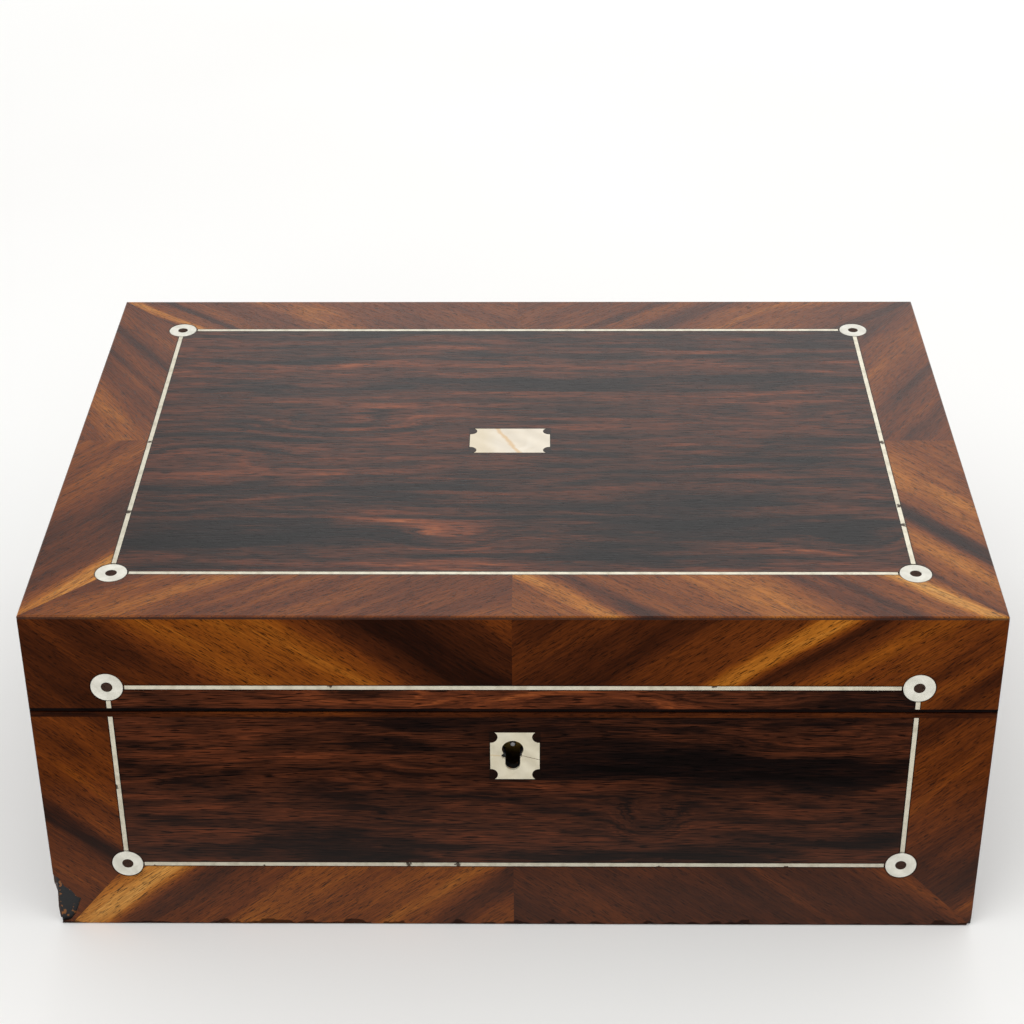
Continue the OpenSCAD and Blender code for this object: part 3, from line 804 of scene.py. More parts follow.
@dataclass(frozen=True)
class Shell:
    """Mother-of-pearl, cut thin, filed and polished: milky, with faint clouds and fine layers.

    cloud_mm is the size of its clouds, and face the face of the box that it is let into.
    """

    name: str
    body: str
    cloud: str
    cloud_mm: float
    face: Face
    flaws: tuple[Flaw, ...] = ()

    def material(self) -> bpy.types.Material:
        """Builds the node material.

        Returns:
            The material.
        """
        material, tree = new_tree(self.name)
        place = add(tree, "TexCoord").outputs["Object"]
        clouds = add(
            tree, "TexNoise",
            {"Vector": place, "Scale": 1 / (self.cloud_mm * MM), "Detail": 2.0, "Distortion": 0.8},
        )
        colour = ramp(
            add(tree, "ValToRGB", {"Fac": clouds.outputs[0]}), ((0.3, self.body), (0.7, self.cloud))
        )
        # Growth layers show as fine wavy lines.
        layers = add(
            tree, "TexWave",
            {"Vector": place, "Scale": 1 / (14 * MM), "Distortion": 4.0, "Detail": 2.0,
             "Detail Scale": 0.6},
            bands_direction="DIAGONAL",
        )
        faint = add(
            tree, "MapRange", {"Value": layers.outputs["Fac"], "To Min": 0.95, "To Max": 1.04}
        )
        colour = add(
            tree, "VectorMath", {0: colour, "Scale": faint.outputs[0]}, operation="SCALE"
        ).outputs[0]
        for flaw in self.flaws:
            colour = self._flawed(tree, place, colour, flaw)
        bump = add(
            tree, "Bump", {"Strength": 0.1, "Distance": 0.0001, "Height": layers.outputs["Fac"]}
        )
        shader = add(
            tree, "BsdfPrincipled",
            {"Base Color": colour, "Roughness": 0.26, "IOR": 1.56, "Normal": bump.outputs[0],
             "Specular IOR Level": 0.35},
        )
        close_tree(tree, shader)
        return material

    def _flawed(self, tree: bpy.types.NodeTree, place: Any, colour: Any, flaw: Flaw) -> Any:
        """Draws a flaw along a wavering line.

        Args:
            tree: the material's node tree.
            place: the socket with Object coordinates.
            colour: the socket with the sound shell's colour.
            flaw: the flaw.

        Returns:
            The socket with the flawed shell's colour.
        """
        start, end = Vector(flaw.start) * MM, Vector(flaw.end) * MM
        run = (end - start).normalized()
        side = run.cross(self.face.directions(0)[2])
        shiver = add(
            tree, "TexNoise", {"Vector": place, "Scale": 0.25 / (flaw.sway * MM), "Detail": 2.0}
        )
        sway = add(
            tree, "MapRange",
            {"Value": shiver.outputs[0], "To Min": -flaw.sway * MM, "To Max": flaw.sway * MM},
        )
        off = add(tree, "VectorMath", {0: place, 1: tuple(start)}, operation="SUBTRACT")
        across = add(
            tree, "VectorMath", {0: off.outputs[0], 1: tuple(side)}, operation="DOT_PRODUCT"
        )
        along = add(
            tree, "VectorMath", {0: off.outputs[0], 1: tuple(run)}, operation="DOT_PRODUCT"
        )
        bent = add(tree, "Math", {0: across.outputs["Value"], 1: sway.outputs[0]}, operation="ADD")
        width = add(tree, "Math", {0: bent.outputs[0]}, operation="ABSOLUTE")
        on_line = add(
            tree, "MapRange",
            {"Value": width.outputs[0], "From Min": flaw.half_width * MM,
             "From Max": 0.3 * flaw.half_width * MM, "To Max": flaw.share},
        )
        begun = add(
            tree, "MapRange", {"Value": along.outputs["Value"], "From Max": 0.5 * MM}
        )
        seen = add(
            tree, "Math", {0: on_line.outputs[0], 1: begun.outputs[0]}, operation="MULTIPLY"
        )
        return add(
            tree, "Mix", {0: seen.outputs[0], 6: colour, 7: linear(flaw.colour)},
            data_type="RGBA",
        ).outputs[2]


@dataclass(frozen=True)
class Metal:
    """A metal as its surface was left: cast, rolled or filed, with tarnish in its hollows.

    tarnish_share is how far tarnish covers it, scratch_mm and patch_mm the sizes of its scratches
    and of its dull patches, and nicks the places in mm where the inlaid metal is lost.
    """

    name: str
    bright: str
    tarnish: str
    tarnish_share: float
    roughness: float
    scratch_mm: float = 0.4
    patch_mm: float = 5.0
    nicks: tuple[tuple[float, float, float], ...] = ()

    def material(self) -> bpy.types.Material:
        """Builds the node material.

        Returns:
            The material.
        """
        material, tree = new_tree(self.name)
        place = add(tree, "TexCoord").outputs["Object"]
        patches = add(
            tree, "TexNoise",
            {"Vector": place, "Scale": 1 / (self.patch_mm * MM), "Detail": 4.0, "Roughness": 0.6},
        )
        dull = add(
            tree, "MapRange",
            {"Value": patches.outputs[0], "From Min": 0.45, "From Max": 0.7,
             "To Max": self.tarnish_share},
        )
        colour = add(
            tree, "Mix", {0: dull.outputs[0], 6: linear(self.bright), 7: linear(self.tarnish)},
            data_type="RGBA",
        )
        colour = colour.outputs[2]
        # Where a string has lifted or a bit is missing, dark glue shows in a ragged notch. The
        # noise lies round 0.5, so the notch begins to show about 1.1 mm from its middle.
        ragged = add(
            tree, "TexNoise", {"Vector": place, "Scale": 1 / (0.9 * MM), "Detail": 2.0}
        )
        for nick in self.nicks:
            away = add(
                tree, "VectorMath", {0: place, 1: tuple(Vector(nick) * MM)}, operation="DISTANCE"
            )
            torn = add(
                tree, "Math", {0: ragged.outputs[0], 1: 2.4 * MM, 2: away.outputs["Value"]},
                operation="MULTIPLY_ADD",
            )
            lost = add(
                tree, "MapRange",
                {"Value": torn.outputs[0], "From Min": 2.3 * MM, "From Max": 1.9 * MM,
                 "To Max": 0.9},
            )
            colour = add(
                tree, "Mix", {0: lost.outputs[0], 6: colour, 7: linear("#2a1a12")},
                data_type="RGBA",
            ).outputs[2]
        scratches = add(
            tree, "TexNoise",
            {"Vector": place, "Scale": 1 / (self.scratch_mm * MM), "Detail": 2.0},
        )
        rough = add(
            tree, "MapRange",
            {"Value": scratches.outputs[0], "From Min": 0.3, "From Max": 0.7,
             "To Min": self.roughness - 0.06, "To Max": self.roughness + 0.1},
        )
        bump = add(
            tree, "Bump",
            {"Strength": 0.25, "Distance": 0.00005, "Height": scratches.outputs[0]},
        )
        shader = add(
            tree, "BsdfPrincipled",
            {"Base Color": colour, "Metallic": 1.0, "Roughness": rough.outputs[0],
             "Normal": bump.outputs[0]},
        )
        close_tree(tree, shader)
        return material


@dataclass(frozen=True)
class Cloth:
    """Silk or velvet: its two tones, the pitch of its threads or pile, and its sheen.

    fold_mm is the size of the blotches of painted light and shade, mixed from the lit and the shade
    tone.
    """

    name: str
    lit: str
    shade: str
    thread_mm: float
    sheen: float
    roughness: float
    fold_mm: float = 30.0

    def material(self) -> bpy.types.Material:
        """Builds the node material.

        Returns:
            The material.
        """
        material, tree = new_tree(self.name)
        place = add(tree, "TexCoord").outputs["Object"]
        # Painted light and shade: wide random blotches move the colour between the lit and the
        # shade tone.
        light_blotches = add(
            tree, "TexNoise",
            {"Vector": place, "Scale": 1 / (self.fold_mm * MM), "Detail": 3.0},
        )
        lit_share = add(
            tree, "MapRange", {"Value": light_blotches.outputs[0], "From Min": 0.35, "From Max": 0.65}
        )
        body = add(
            tree, "Mix", {0: lit_share.outputs[0], 6: linear(self.shade), 7: linear(self.lit)},
            data_type="RGBA",
        )
        # Threads one way and the other, drawn about six times as coarse as real ones so that they
        # show.
        weave = []
        for direction in ("X", "Y"):
            wave = add(
                tree, "TexWave",
                {"Vector": place, "Scale": 0.05 / (self.thread_mm * MM), "Distortion": 0.6,
                 "Detail": 1.0, "Detail Scale": 2.0},
                bands_direction=direction,
            )
            weave.append(wave.outputs["Fac"])
        woven = add(tree, "Math", {0: weave[0], 1: weave[1]}, operation="MULTIPLY")
        light = add(
            tree, "MapRange", {"Value": woven.outputs[0], "To Min": 0.78, "To Max": 1.12}
        )
        shaded = add(
            tree, "VectorMath", {0: body.outputs[2], "Scale": light.outputs[0]},
            operation="SCALE",
        )
        bump = add(
            tree, "Bump", {"Strength": 0.35, "Distance": 0.0001, "Height": woven.outputs[0]}
        )
        shader = add(
            tree, "BsdfPrincipled",
            {"Base Color": shaded.outputs[0], "Roughness": self.roughness,
             "Sheen Weight": self.sheen, "Sheen Roughness": 0.35,
             "Sheen Tint": linear(self.lit), "Specular IOR Level": 0.25,
             "Normal": bump.outputs[0]},
        )
        close_tree(tree, shader)
        return material


# ---------------------------------------------------------------- veneers


@dataclass(frozen=True)
class Leaf:
    """One leaf of veneer: the CAD node it covers and how its own wood looks."""

    node: str
    face: Face
    grain_deg: float
    tone: float
    seed: float
    patches: tuple[Patch, ...] = ()
    knots: tuple[Knot, ...] = ()
    contrast: float = 1.0
    species: Species = ROSEWOOD


TOP_BANDS = (
    Leaf("top_band_back_left", Face.TOP, -38, 0.51, 1, (
        Patch(-134, 97, 2.4, 0.36), Patch(-140, 97, 3, -0.12), Patch(-121, 98, 1.5, -0.25),
        Patch(-68, 91, 7, 0.12), Patch(-95, 94, 6, -0.08))),
    Leaf("top_band_back_right", Face.TOP, 38, 0.49, 2, (
        Patch(40, 97, 2, -0.16), Patch(62, 97, 5, -0.12), Patch(92, 94, 10, 0.12),
        Patch(133, 96, 3, -0.16))),
    Leaf("top_band_front_left", Face.TOP, 33, 0.48, 3, (
        Patch(-108, -96, 7, 0.16), Patch(-82, -93, 3.5, 0.14), Patch(-73, -90, 1.2, -0.14),
        Patch(-128, -97, 4, 0.1), Patch(-93, -97, 2.5, -0.12))),
    Leaf("top_band_front_right", Face.TOP, -40, 0.59, 4, (
        Patch(16, -95, 3, 0.22), Patch(27, -94, 3, -0.24), Patch(70, -92, 12, 0.1),
        Patch(100, -96, 3, -0.22), Patch(112, -98, 2.5, -0.25), Patch(135, -98, 4, 0.3))),
    Leaf("top_band_left_back", Face.TOP, -56, 0.48, 5, (
        Patch(-138, 10, 8, 0.16), Patch(-138, 71, 2, -0.14), Patch(-131, 40, 1.2, -0.18))),
    Leaf("top_band_left_front", Face.TOP, 52, 0.54, 6, (
        Patch(-138, -17, 8, 0.05), Patch(-138, -57, 12, -0.25), Patch(-136, -90, 5, 0.30))),
    Leaf("top_band_right_back", Face.TOP, 56, 0.48, 7, (
        Patch(137, 60, 7, 0.13), Patch(137, 95, 5, -0.08), Patch(132, 30, 2, -0.1),
        Patch(137, 8, 5, -0.08))),
    Leaf("top_band_right_front", Face.TOP, -52, 0.54, 8, (
        Patch(138, -35, 8, 0.15), Patch(137, -58, 3.5, -0.38), Patch(137, -75, 5, 0.1),
        Patch(137, -93, 2.5, -0.2), Patch(140, -101, 2.0, 0.25))),
)
FRONT_BANDS = (
    Leaf("lid_band_front_left", Face.FRONT, -36, 0.46, 9, (
        Patch(-80, 110, 18, 0.13), Patch(-58, 108, 3, 0.05), Patch(-92, 110, 3, 0.04),
        Patch(-21, 110, 13, -0.3), Patch(-128, 108, 14, -0.15), Patch(-2, 104, 4, 0.08)), (), 0.8),
    Leaf("lid_band_front_right", Face.FRONT, 36, 0.345, 10, (
        Patch(12, 112, 4, 0.05), Patch(36, 108, 4, -0.08), Patch(56, 104, 4, 0.05),
        Patch(85, 112, 4.2, 0.46), Patch(92, 109, 2.4, -0.1), Patch(108, 108, 5, 0.17),
        Patch(122, 108, 4, 0.13), Patch(131, 108, 3, 0.16)), (), 0.85),
    Leaf("lid_band_left", Face.FRONT, -42, 0.30, 11, (Patch(-140, 112, 3, 0.06),), (), 0.8),
    Leaf("lid_band_right", Face.FRONT, 42, 0.39, 12, (
        Patch(139, 100, 4, 0.1), Patch(146, 98, 3, -0.08))),
    Leaf("base_band_bottom_left", Face.FRONT, 38, 0.5, 13, (
        Patch(-127.5, 14, 7.5, 0.34), Patch(-103, 18, 6.5, -0.18), Patch(-88, 14, 4, -0.08),
        Patch(-64, 12, 12, 0.1), Patch(-12, 10, 5, -0.18), Patch(-24, 16, 3, 0.12))),
    Leaf("base_band_bottom_right", Face.FRONT, -38, 0.31, 14, (
        Patch(138, 12, 3, 0.14), Patch(30, 12, 8, 0.04)), (), 0.7),
    Leaf("base_band_left", Face.FRONT, -42, 0.42, 15, (
        Patch(-138, 38, 4, -0.26), Patch(-138, 62, 10, 0.05), Patch(-141, 22, 5, 0.03))),
    Leaf("base_band_right", Face.FRONT, 42, 0.38, 16, (
        Patch(135, 57, 9, 0.08), Patch(145, 37, 5, -0.05), Patch(140, 14, 9, -0.1),
        Patch(148.5, 9, 3, 0.2, 6))),
)
PANELS = (
    Leaf("top_panel", Face.TOP, 0, 0.49, 17, (
        Patch(-60, 57, 1.6, 0.22, 110), Patch(70, 58, 3.5, 0.17, 60), Patch(95, 52, 2, 0.15, 40),
        Patch(30, 46, 3, -0.2, 110), Patch(-75, 43, 5, -0.14, 45), Patch(-20, 30, 10, 0.07, 60),
        Patch(90, 33, 6, 0.12, 40), Patch(-95, 4, 3, -0.16, 30), Patch(-60, -5, 2, 0.1, 30),
        Patch(-98, -20, 5, 0.06, 30), Patch(0, -36, 6, -0.14, 110), Patch(-92, -58, 13, -0.26, 40),
        Patch(70, -50, 10, -0.2, 55), Patch(-24, -51, 2.5, 0.17, 26), Patch(-14, -59, 2, 0.17, 18),
        Patch(-30, -68, 2, 0.14, 24), Patch(-22, -77, 3, 0.22, 28), Patch(110, -78, 4, 0.18, 22),
        Patch(98, -66, 2, 0.14, 26), Patch(35, -68, 9, -0.16, 22), Patch(70, -80, 2.5, 0.14, 24),
        Patch(-70, -12, 14, -0.06, 60), Patch(75, -12, 14, -0.11, 55),
        Patch(75, -58, 16, -0.07, 45)),
        (Knot(-60, 10, 26, 9, 12), Knot(-103, -8, 24, 8, -9), Knot(86, 18, 20, 4, 7),
         Knot(-20, -63, 16, 6, 7), Knot(110, -66, 16, 8, 8)), 0.8, HEART_ROSEWOOD),
    Leaf("base_front_panel", Face.FRONT, 0, 0.44, 18, (
        Patch(72, 67, 8, -0.28, 46), Patch(-50, 78, 4, -0.08, 26), Patch(-90, 75, 8, 0.15, 45),
        Patch(28, 68, 7, -0.12, 28), Patch(16, 40, 6, 0.08, 44),
        Patch(-45, 62, 9, 0.08, 40), Patch(-60, 33, 5, -0.12, 40), Patch(60, 45, 8, 0.02, 50),
        Patch(26, 60, 2.5, 0.2, 22), Patch(100, 75, 3, 0.12, 26), Patch(40, 31, 4, -0.1, 60)),
        (Knot(43, 44, 10, 8, 9), Knot(-20, 45, 22, 4, 5), Knot(-75, 62, 30, 6, -6),
         Knot(95, 74, 26, 5, 6)), 0.6, HEART_ROSEWOOD),
    Leaf("lid_front_strip", Face.FRONT, 0, 0.55, 19, (
        Patch(112, 90, 9, -0.2, 46), Patch(-100, 88, 3, -0.16, 44), Patch(-8, 92, 6, 0.1, 40)),
         (Knot(-40, 92, 26, 5, 7), Knot(24, 90, 24, 5, -6), Knot(70, 93, 20, 4, 5)), 0.75,
         HEART_ROSEWOOD),
)
# The sides and the back are plain lengthwise veneer, quieter than the front.
PLAIN = (
    Leaf("base_side_veneers", Face.SIDE, 0, 0.48, 20, (Patch(20, 50, 9, -0.2, 90),),
         (Knot(-40, 40, 30, 9, 8),), 0.6, HEART_ROSEWOOD),
    Leaf("lid_side_veneers", Face.SIDE, 0, 0.48, 20, (), (), 0.6, HEART_ROSEWOOD),
    Leaf("base_back_veneer", Face.BACK, 0, 0.47, 21, (Patch(0, 30, 9, 0.12, 120),),
         (Knot(60, 50, 34, 9, 9),), 0.6, HEART_ROSEWOOD),
    Leaf("lid_back_veneer", Face.BACK, 0, 0.47, 21, (), (), 0.6, HEART_ROSEWOOD),
)


@dataclass
class VeneerWork:
    """All the show veneers of the outside. string_mm is the width of the inlaid strings."""

    string_mm: float = 1.4
    leaves: tuple[Leaf, ...] = TOP_BANDS + FRONT_BANDS + PANELS + PLAIN

    def _glue_lines(self) -> dict[Face, tuple[GlueLine, ...]]:
        """Finds where glue has darkened round the inlay, from the inlay's own places.

        Returns:
            The glue lines of each face.
        """
        strings_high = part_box("lid_stringing")[1] / MM
        roundels_low, roundels_high = (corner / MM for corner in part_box("lid_roundels"))
        base_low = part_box("base_stringing")[0] / MM
        radius = roundels_high.x - strings_high.x + self.string_mm / 2
        line_half = self.string_mm / 2
        x, y = strings_high.x - line_half, strings_high.y - line_half
        foot, head = base_low.z + line_half, roundels_low.z + radius
        lines = {
            Face.TOP: [GlueLine((0, 0), (x, y), line_half, radius)],
            Face.FRONT: [
                GlueLine((0, (foot + head) / 2), (x, (head - foot) / 2), line_half, radius)
            ],
        }
        for node, face in (("cartouche", Face.TOP), ("escutcheon", Face.FRONT)):
            low, high = (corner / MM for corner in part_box(node))
            middle, half = (low + high) / 2, (high - low) / 2
            right, up = (Vector(direction) for direction in face.value)
            lines[face].append(
                GlueLine((middle.dot(right), middle.dot(up)), (half.dot(right), half.dot(up)))
            )
        return {face: tuple(found) for face, found in lines.items()}

    def dress(self) -> None:
        """Gives each leaf its own piece of wood."""
        glue_lines = self._glue_lines()
        for leaf in self.leaves:
            timber = Timber(
                name=leaf.node + "_rosewood", species=leaf.species, polish=FACE_POLISH[leaf.face],
                face=leaf.face, grain_deg=leaf.grain_deg, tone=leaf.tone, seed=leaf.seed,
                patches=leaf.patches, knots=leaf.knots, contrast=leaf.contrast,
                wander_mm=5.0 if leaf.species is HEART_ROSEWOOD else 3.0,
                face_mm=leaf.face.out_mm, glue_lines=glue_lines.get(leaf.face, ()),
            )
            dress_node(leaf.node, timber.material())


@dataclass
class Carcass:
    """The mahogany boards behind the veneer, and the lippings on the rims."""

    boards: tuple[tuple[str, Face], ...] = (
        ("base_front_board", Face.FRONT), ("base_back_board", Face.FRONT),
        ("base_side_boards", Face.SIDE), ("base_bottom_board", Face.TOP),
        ("lid_front_board", Face.FRONT), ("lid_back_board", Face.FRONT),
        ("lid_side_boards", Face.SIDE), ("lid_top_board", Face.TOP),
        ("tray_shelves", Face.SIDE),
    )
    filled_and_shaded: tuple[str, ...] = ("base_front_board", "base_side_boards", "base_bottom_board")
    corner: StainAndShade = StainAndShade(-150.0, -108.0, 9.0, 26.0)
    # Painted shade: the board is blackened round the keyhole, where only its walls inside the hole
    # show.
    keyhole: StainAndShade = StainAndShade(0.0, -103.0, 70.0, 13.0)

    def dress(self) -> None:
        """Gives each board mahogany with the grain along it, and the rims their edging woods."""
        for number, (node, face) in enumerate(self.boards):
            # Black filler shows where the front left corner has lost its veneer, and the walls of
            # the keyhole are painted nearly black as painted shade.
            stains_and_shade = (self.corner, self.keyhole) if node in self.filled_and_shaded else ()
            timber = Timber(
                name=node + "_mahogany", species=MAHOGANY, polish=INSIDE_POLISH, face=face,
                grain_deg=0, tone=0.45, seed=30 + number, contrast=0.6, wander_mm=3.0,
                stains_and_shade=stains_and_shade,
            )
            dress_node(node, timber.material())
        red = Timber(
            name="base_rim_red_rosewood", species=ROSEWOOD, polish=FRONT_POLISH, face=Face.TOP,
            grain_deg=0, tone=0.29, seed=41, contrast=1.3, wander_mm=2.0,
        )
        dress_node("base_rim_lipping", red.material())
        black = Timber(
            name="lid_rim_dark_rosewood", species=HEART_ROSEWOOD, polish=FRONT_POLISH,
            face=Face.TOP, grain_deg=0, tone=0.18, seed=42, contrast=0.5, wander_mm=2.0,
        )
        dress_node("lid_rim_lipping", black.material())


# ---------------------------------------------------------------- inlay and fittings


@dataclass
class Inlay:
    """Pewter strings, shell roundels with ebony dots, the cartouche and the escutcheon."""

    strings: Metal = Metal(
        "pewter_string", "#d2ccba", "#9c947f", 0.5, 0.42, 0.5, 3.5,
        (
            (-125.0, -1.0, 122.0), (125.0, -1.5, 122.0), (125.0, -43.0, 122.0),
            (125.0, -55.0, 122.0), (-125.0, -47.0, 122.0), (-116.0, -108.0, 24.2),
            (-81.0, -108.0, 24.2), (-34.0, -108.0, 25.8), (-18.0, -108.0, 25.7),
            (47.0, -108.0, 24.3), (88.0, -108.0, 24.4), (-126.0, -108.0, 57.0),
            (62.0, -108.0, 96.8), (-56.0, -108.0, 96.7),
        ),
    )
    roundels: Shell = Shell("pearl_roundel", "#dcd9cd", "#c9c6b8", 3.0, Face.TOP)
    plate: Shell = Shell(
        "pearl_cartouche", "#ddd3c1", "#d2c6b1", 9.0, Face.TOP,
        (
            Flaw((-13.0, 9.0, 122.0), (-13.0, -9.0, 122.0), 7.0, 1.2, "#cdbd9c", 0.55),
            Flaw((-7.0, 9.0, 122.0), (1.5, -9.0, 122.0), 1.1, 1.4, "#c9a064", 0.65),
        ),
    )
    keyplate: Shell = Shell(
        "pearl_escutcheon", "#d2cab4", "#c3b9a0", 6.0, Face.FRONT,
        (
            Flaw((3.0, -108.0, 69.7), (8.6, -108.0, 68.0), 0.16, 0.3, "#5b4a38", 0.9),
            Flaw((-3.4, -108.0, 69.6), (-8.0, -108.0, 69.9), 0.5, 0.3, "#b99a66", 0.4),
        ),
    )

    def dress(self) -> None:
        """Gives each inlaid piece its material and eases the filed edges."""
        string = self.strings.material()
        pearl = self.roundels.material()
        ebony = Timber(
            name="ebony_dot", species=EBONY, polish=FRONT_POLISH, face=Face.TOP, grain_deg=20,
            tone=0.75, seed=50, contrast=0.5,
        ).material()
        for half in ("base", "lid"):
            dress_node(half + "_stringing", string)
            dress_node(half + "_roundels", pearl)
            dress_node(half + "_roundel_dots", ebony)
        dress_node("cartouche", self.plate.material())
        dress_node("escutcheon", self.keyplate.material())
        for node in ("base_roundels", "lid_roundels", "cartouche", "escutcheon"):
            ease_edges(node, 0.12 * MM)


@dataclass
class Fittings:
    """The lock, its link plate, the hinges and the screws."""

    # Cast brass, filed and once lacquered: yellow where it is rubbed, brown in its hollows.
    brass: Metal = Metal("old_lock_brass", "#b8934e", "#5c4420", 0.6, 0.34)
    # Dull cast brass, coloured nearly black as painted shade, since the keyhole shows it only in
    # the box's dark inside.
    inside: Metal = Metal("shade_dark_case_brass", "#2e2318", "#140f0b", 0.9, 0.55)
    # Rolled brass, a little redder and duller than the lock.
    hinge_brass: Metal = Metal("old_hinge_brass", "#b08a48", "#54401f", 0.7, 0.38)
    # Turned brass: small bright heads, with fine marks from the tool.
    screw: Metal = Metal("turned_screw_brass", "#9c8352", "#4a3a20", 0.6, 0.36, 0.3, 2.0)
    # Filed mild steel: grey, with brown specks of old rust.
    steel: Metal = Metal("filed_steel", "#8d8d8f", "#4b4540", 0.6, 0.32, 0.3, 2.0)

    def dress(self) -> None:
        """Gives each fitting its metal and eases its edges."""
        finishes = (
            (self.brass, ("lock_plate", "lock_bolt", "link_plate")),
            (self.inside, ("lock_case",)),
            (self.hinge_brass, ("hinge_base_leaves", "hinge_lid_leaves", "hinge_pins")),
            (self.screw, ("base_screws", "lid_screws")),
            (self.steel, ("lock_drill_pin", "lock_lever")),
        )
        for finish, nodes in finishes:
            material = finish.material()
            for node in nodes:
                dress_node(node, material)
        for node in ("hinge_base_leaves", "hinge_lid_leaves", "link_plate", "lock_plate"):
            ease_edges(node, 0.1 * MM)


# ---------------------------------------------------------------- soft goods


# Cotton velvet: deep and matt square on, with a pale bloom at a low angle from its pile.
VELVET = Cloth("crimson_velvet", "#6d1824", "#5c121d", 0.35, 0.9, 0.85)
# Plain woven silk over wadding: a soft gloss that runs along each swelling.
SILK = Cloth("crimson_silk", "#84202e", "#741a27", 0.3, 0.25, 0.36, 45.0)
# Ribbed silk ribbon, a little brighter than the lining, and the same silk twisted for the braid.
RIBBON = Cloth("ribbon_silk", "#8f2433", "#74202c", 0.25, 0.3, 0.36, 20.0)


def slab(name: str, low: Vector, high: Vector, step: float) -> bpy.types.Object:
    """Starts a pad: a grid of small faces, drawn up into a closed slab.

    Args:
        name: the piece's name.
        low: its lowest corner.
        high: its highest corner.
        step: the size of its small faces, in metres.

    Returns:
        The slab, closed all round, with its normals outward.
    """
    width, depth = high.x - low.x, high.y - low.y
    across, along = max(8, round(width / step)), max(8, round(depth / step))
    bpy.ops.object.select_all(action="DESELECT")
    bpy.ops.mesh.primitive_grid_add(
        x_subdivisions=across, y_subdivisions=along, size=1.0,
        location=((low.x + high.x) / 2, (low.y + high.y) / 2, low.z),
    )
    obj = bpy.context.active_object
    obj.name = name
    obj.data.name = name
    obj.scale = (width, depth, 1.0)
    place_in_mesh(obj)
    edit_all(obj)
    bpy.ops.mesh.extrude_region_move(TRANSFORM_OT_translate={"value": (0, 0, high.z - low.z)})
    bpy.ops.mesh.select_all(action="SELECT")
    bpy.ops.mesh.normals_make_consistent(inside=False)
    leave_edit()
    return obj


def edge_distance(point: Vector, low: Vector, high: Vector) -> float:
    """Distance from a point to the nearest side of a box, seen from above."""
    return max(0.0, min(point.x - low.x, high.x - point.x, point.y - low.y, high.y - point.y))


@dataclass
class VelvetPads:
    """Thin velvet-covered cards that lie on a floor, crowned a little and soft at the edges.

    edge, crown and ripple are shares of the card's thickness: its height at the very edge, how far
    it rises from there, and how unevenly the pile lies.
    """

    node: str
    body: str
    step: float = 3 * MM
    round_over: float = 1.4 * MM
    edge: float = 0.42
    crown: float = 0.5
    ripple: float = 0.04

    def build(self) -> bpy.types.Object:
        """Models a pad in each of the node's separate spaces.

        Returns:
            The joined pads, riding on their body.
        """
        pads = [
            self._pad(f"{self.node}_{number}", low, high)
            for number, (low, high) in enumerate(self._spaces())
        ]
        piece = joined(pads, self.node + "_velvet")
        dress(piece, VELVET.material())
        smooth(piece, 60)
        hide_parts(self.node)
        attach(piece, self.body)
        return piece

    def _spaces(self) -> list[tuple[Vector, Vector]]:
        """Finds the separate solids of the node.

        Returns:
            The lowest and the highest corner of each, in order of place.
        """
        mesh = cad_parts[self.node].data
        corners: dict[tuple[int, ...], int] = {}
        parent = list(range(len(mesh.vertices)))

        def root(i: int) -> int:
            """The vertex that stands for i's whole solid."""
            while parent[i] != i:
                i = parent[i]
            return i

        for vertex in mesh.vertices:
            key = tuple(round(c * 1e6) for c in vertex.co)
            parent[root(vertex.index)] = root(corners.setdefault(key, vertex.index))
        for polygon in mesh.polygons:
            for i in polygon.vertices:
                parent[root(i)] = root(polygon.vertices[0])
        groups: dict[int, list[Vector]] = {}
        for vertex in mesh.vertices:
            groups.setdefault(root(vertex.index), []).append(vertex.co)
        spaces = [
            (Vector(map(min, zip(*points))), Vector(map(max, zip(*points))))
            for points in groups.values()
        ]
        return sorted(spaces, key=lambda space: tuple(space[0]))

    def _pad(self, name: str, low: Vector, high: Vector) -> bpy.types.Object:
        """Models one pad.

        Args:
            name: the pad's name.
            low: the lowest corner of its space.
            high: the highest corner of its space.

        Returns:
            The pad.
        """
        pad = slab(name, low, high, self.step)
        thick = high.z - low.z
        for vertex in pad.data.vertices:
            if vertex.co.z < (low.z + high.z) / 2:
                continue
            inward = edge_distance(vertex.co, low, high)
            rise = 1 - math.exp(-inward / self.round_over)
            wave = math.sin(vertex.co.x * 140) * math.sin(vertex.co.y * 170 + 1)
            share = self.edge + self.crown * rise + self.ripple * wave * rise
            vertex.co.z = low.z + thick * share
        return pad


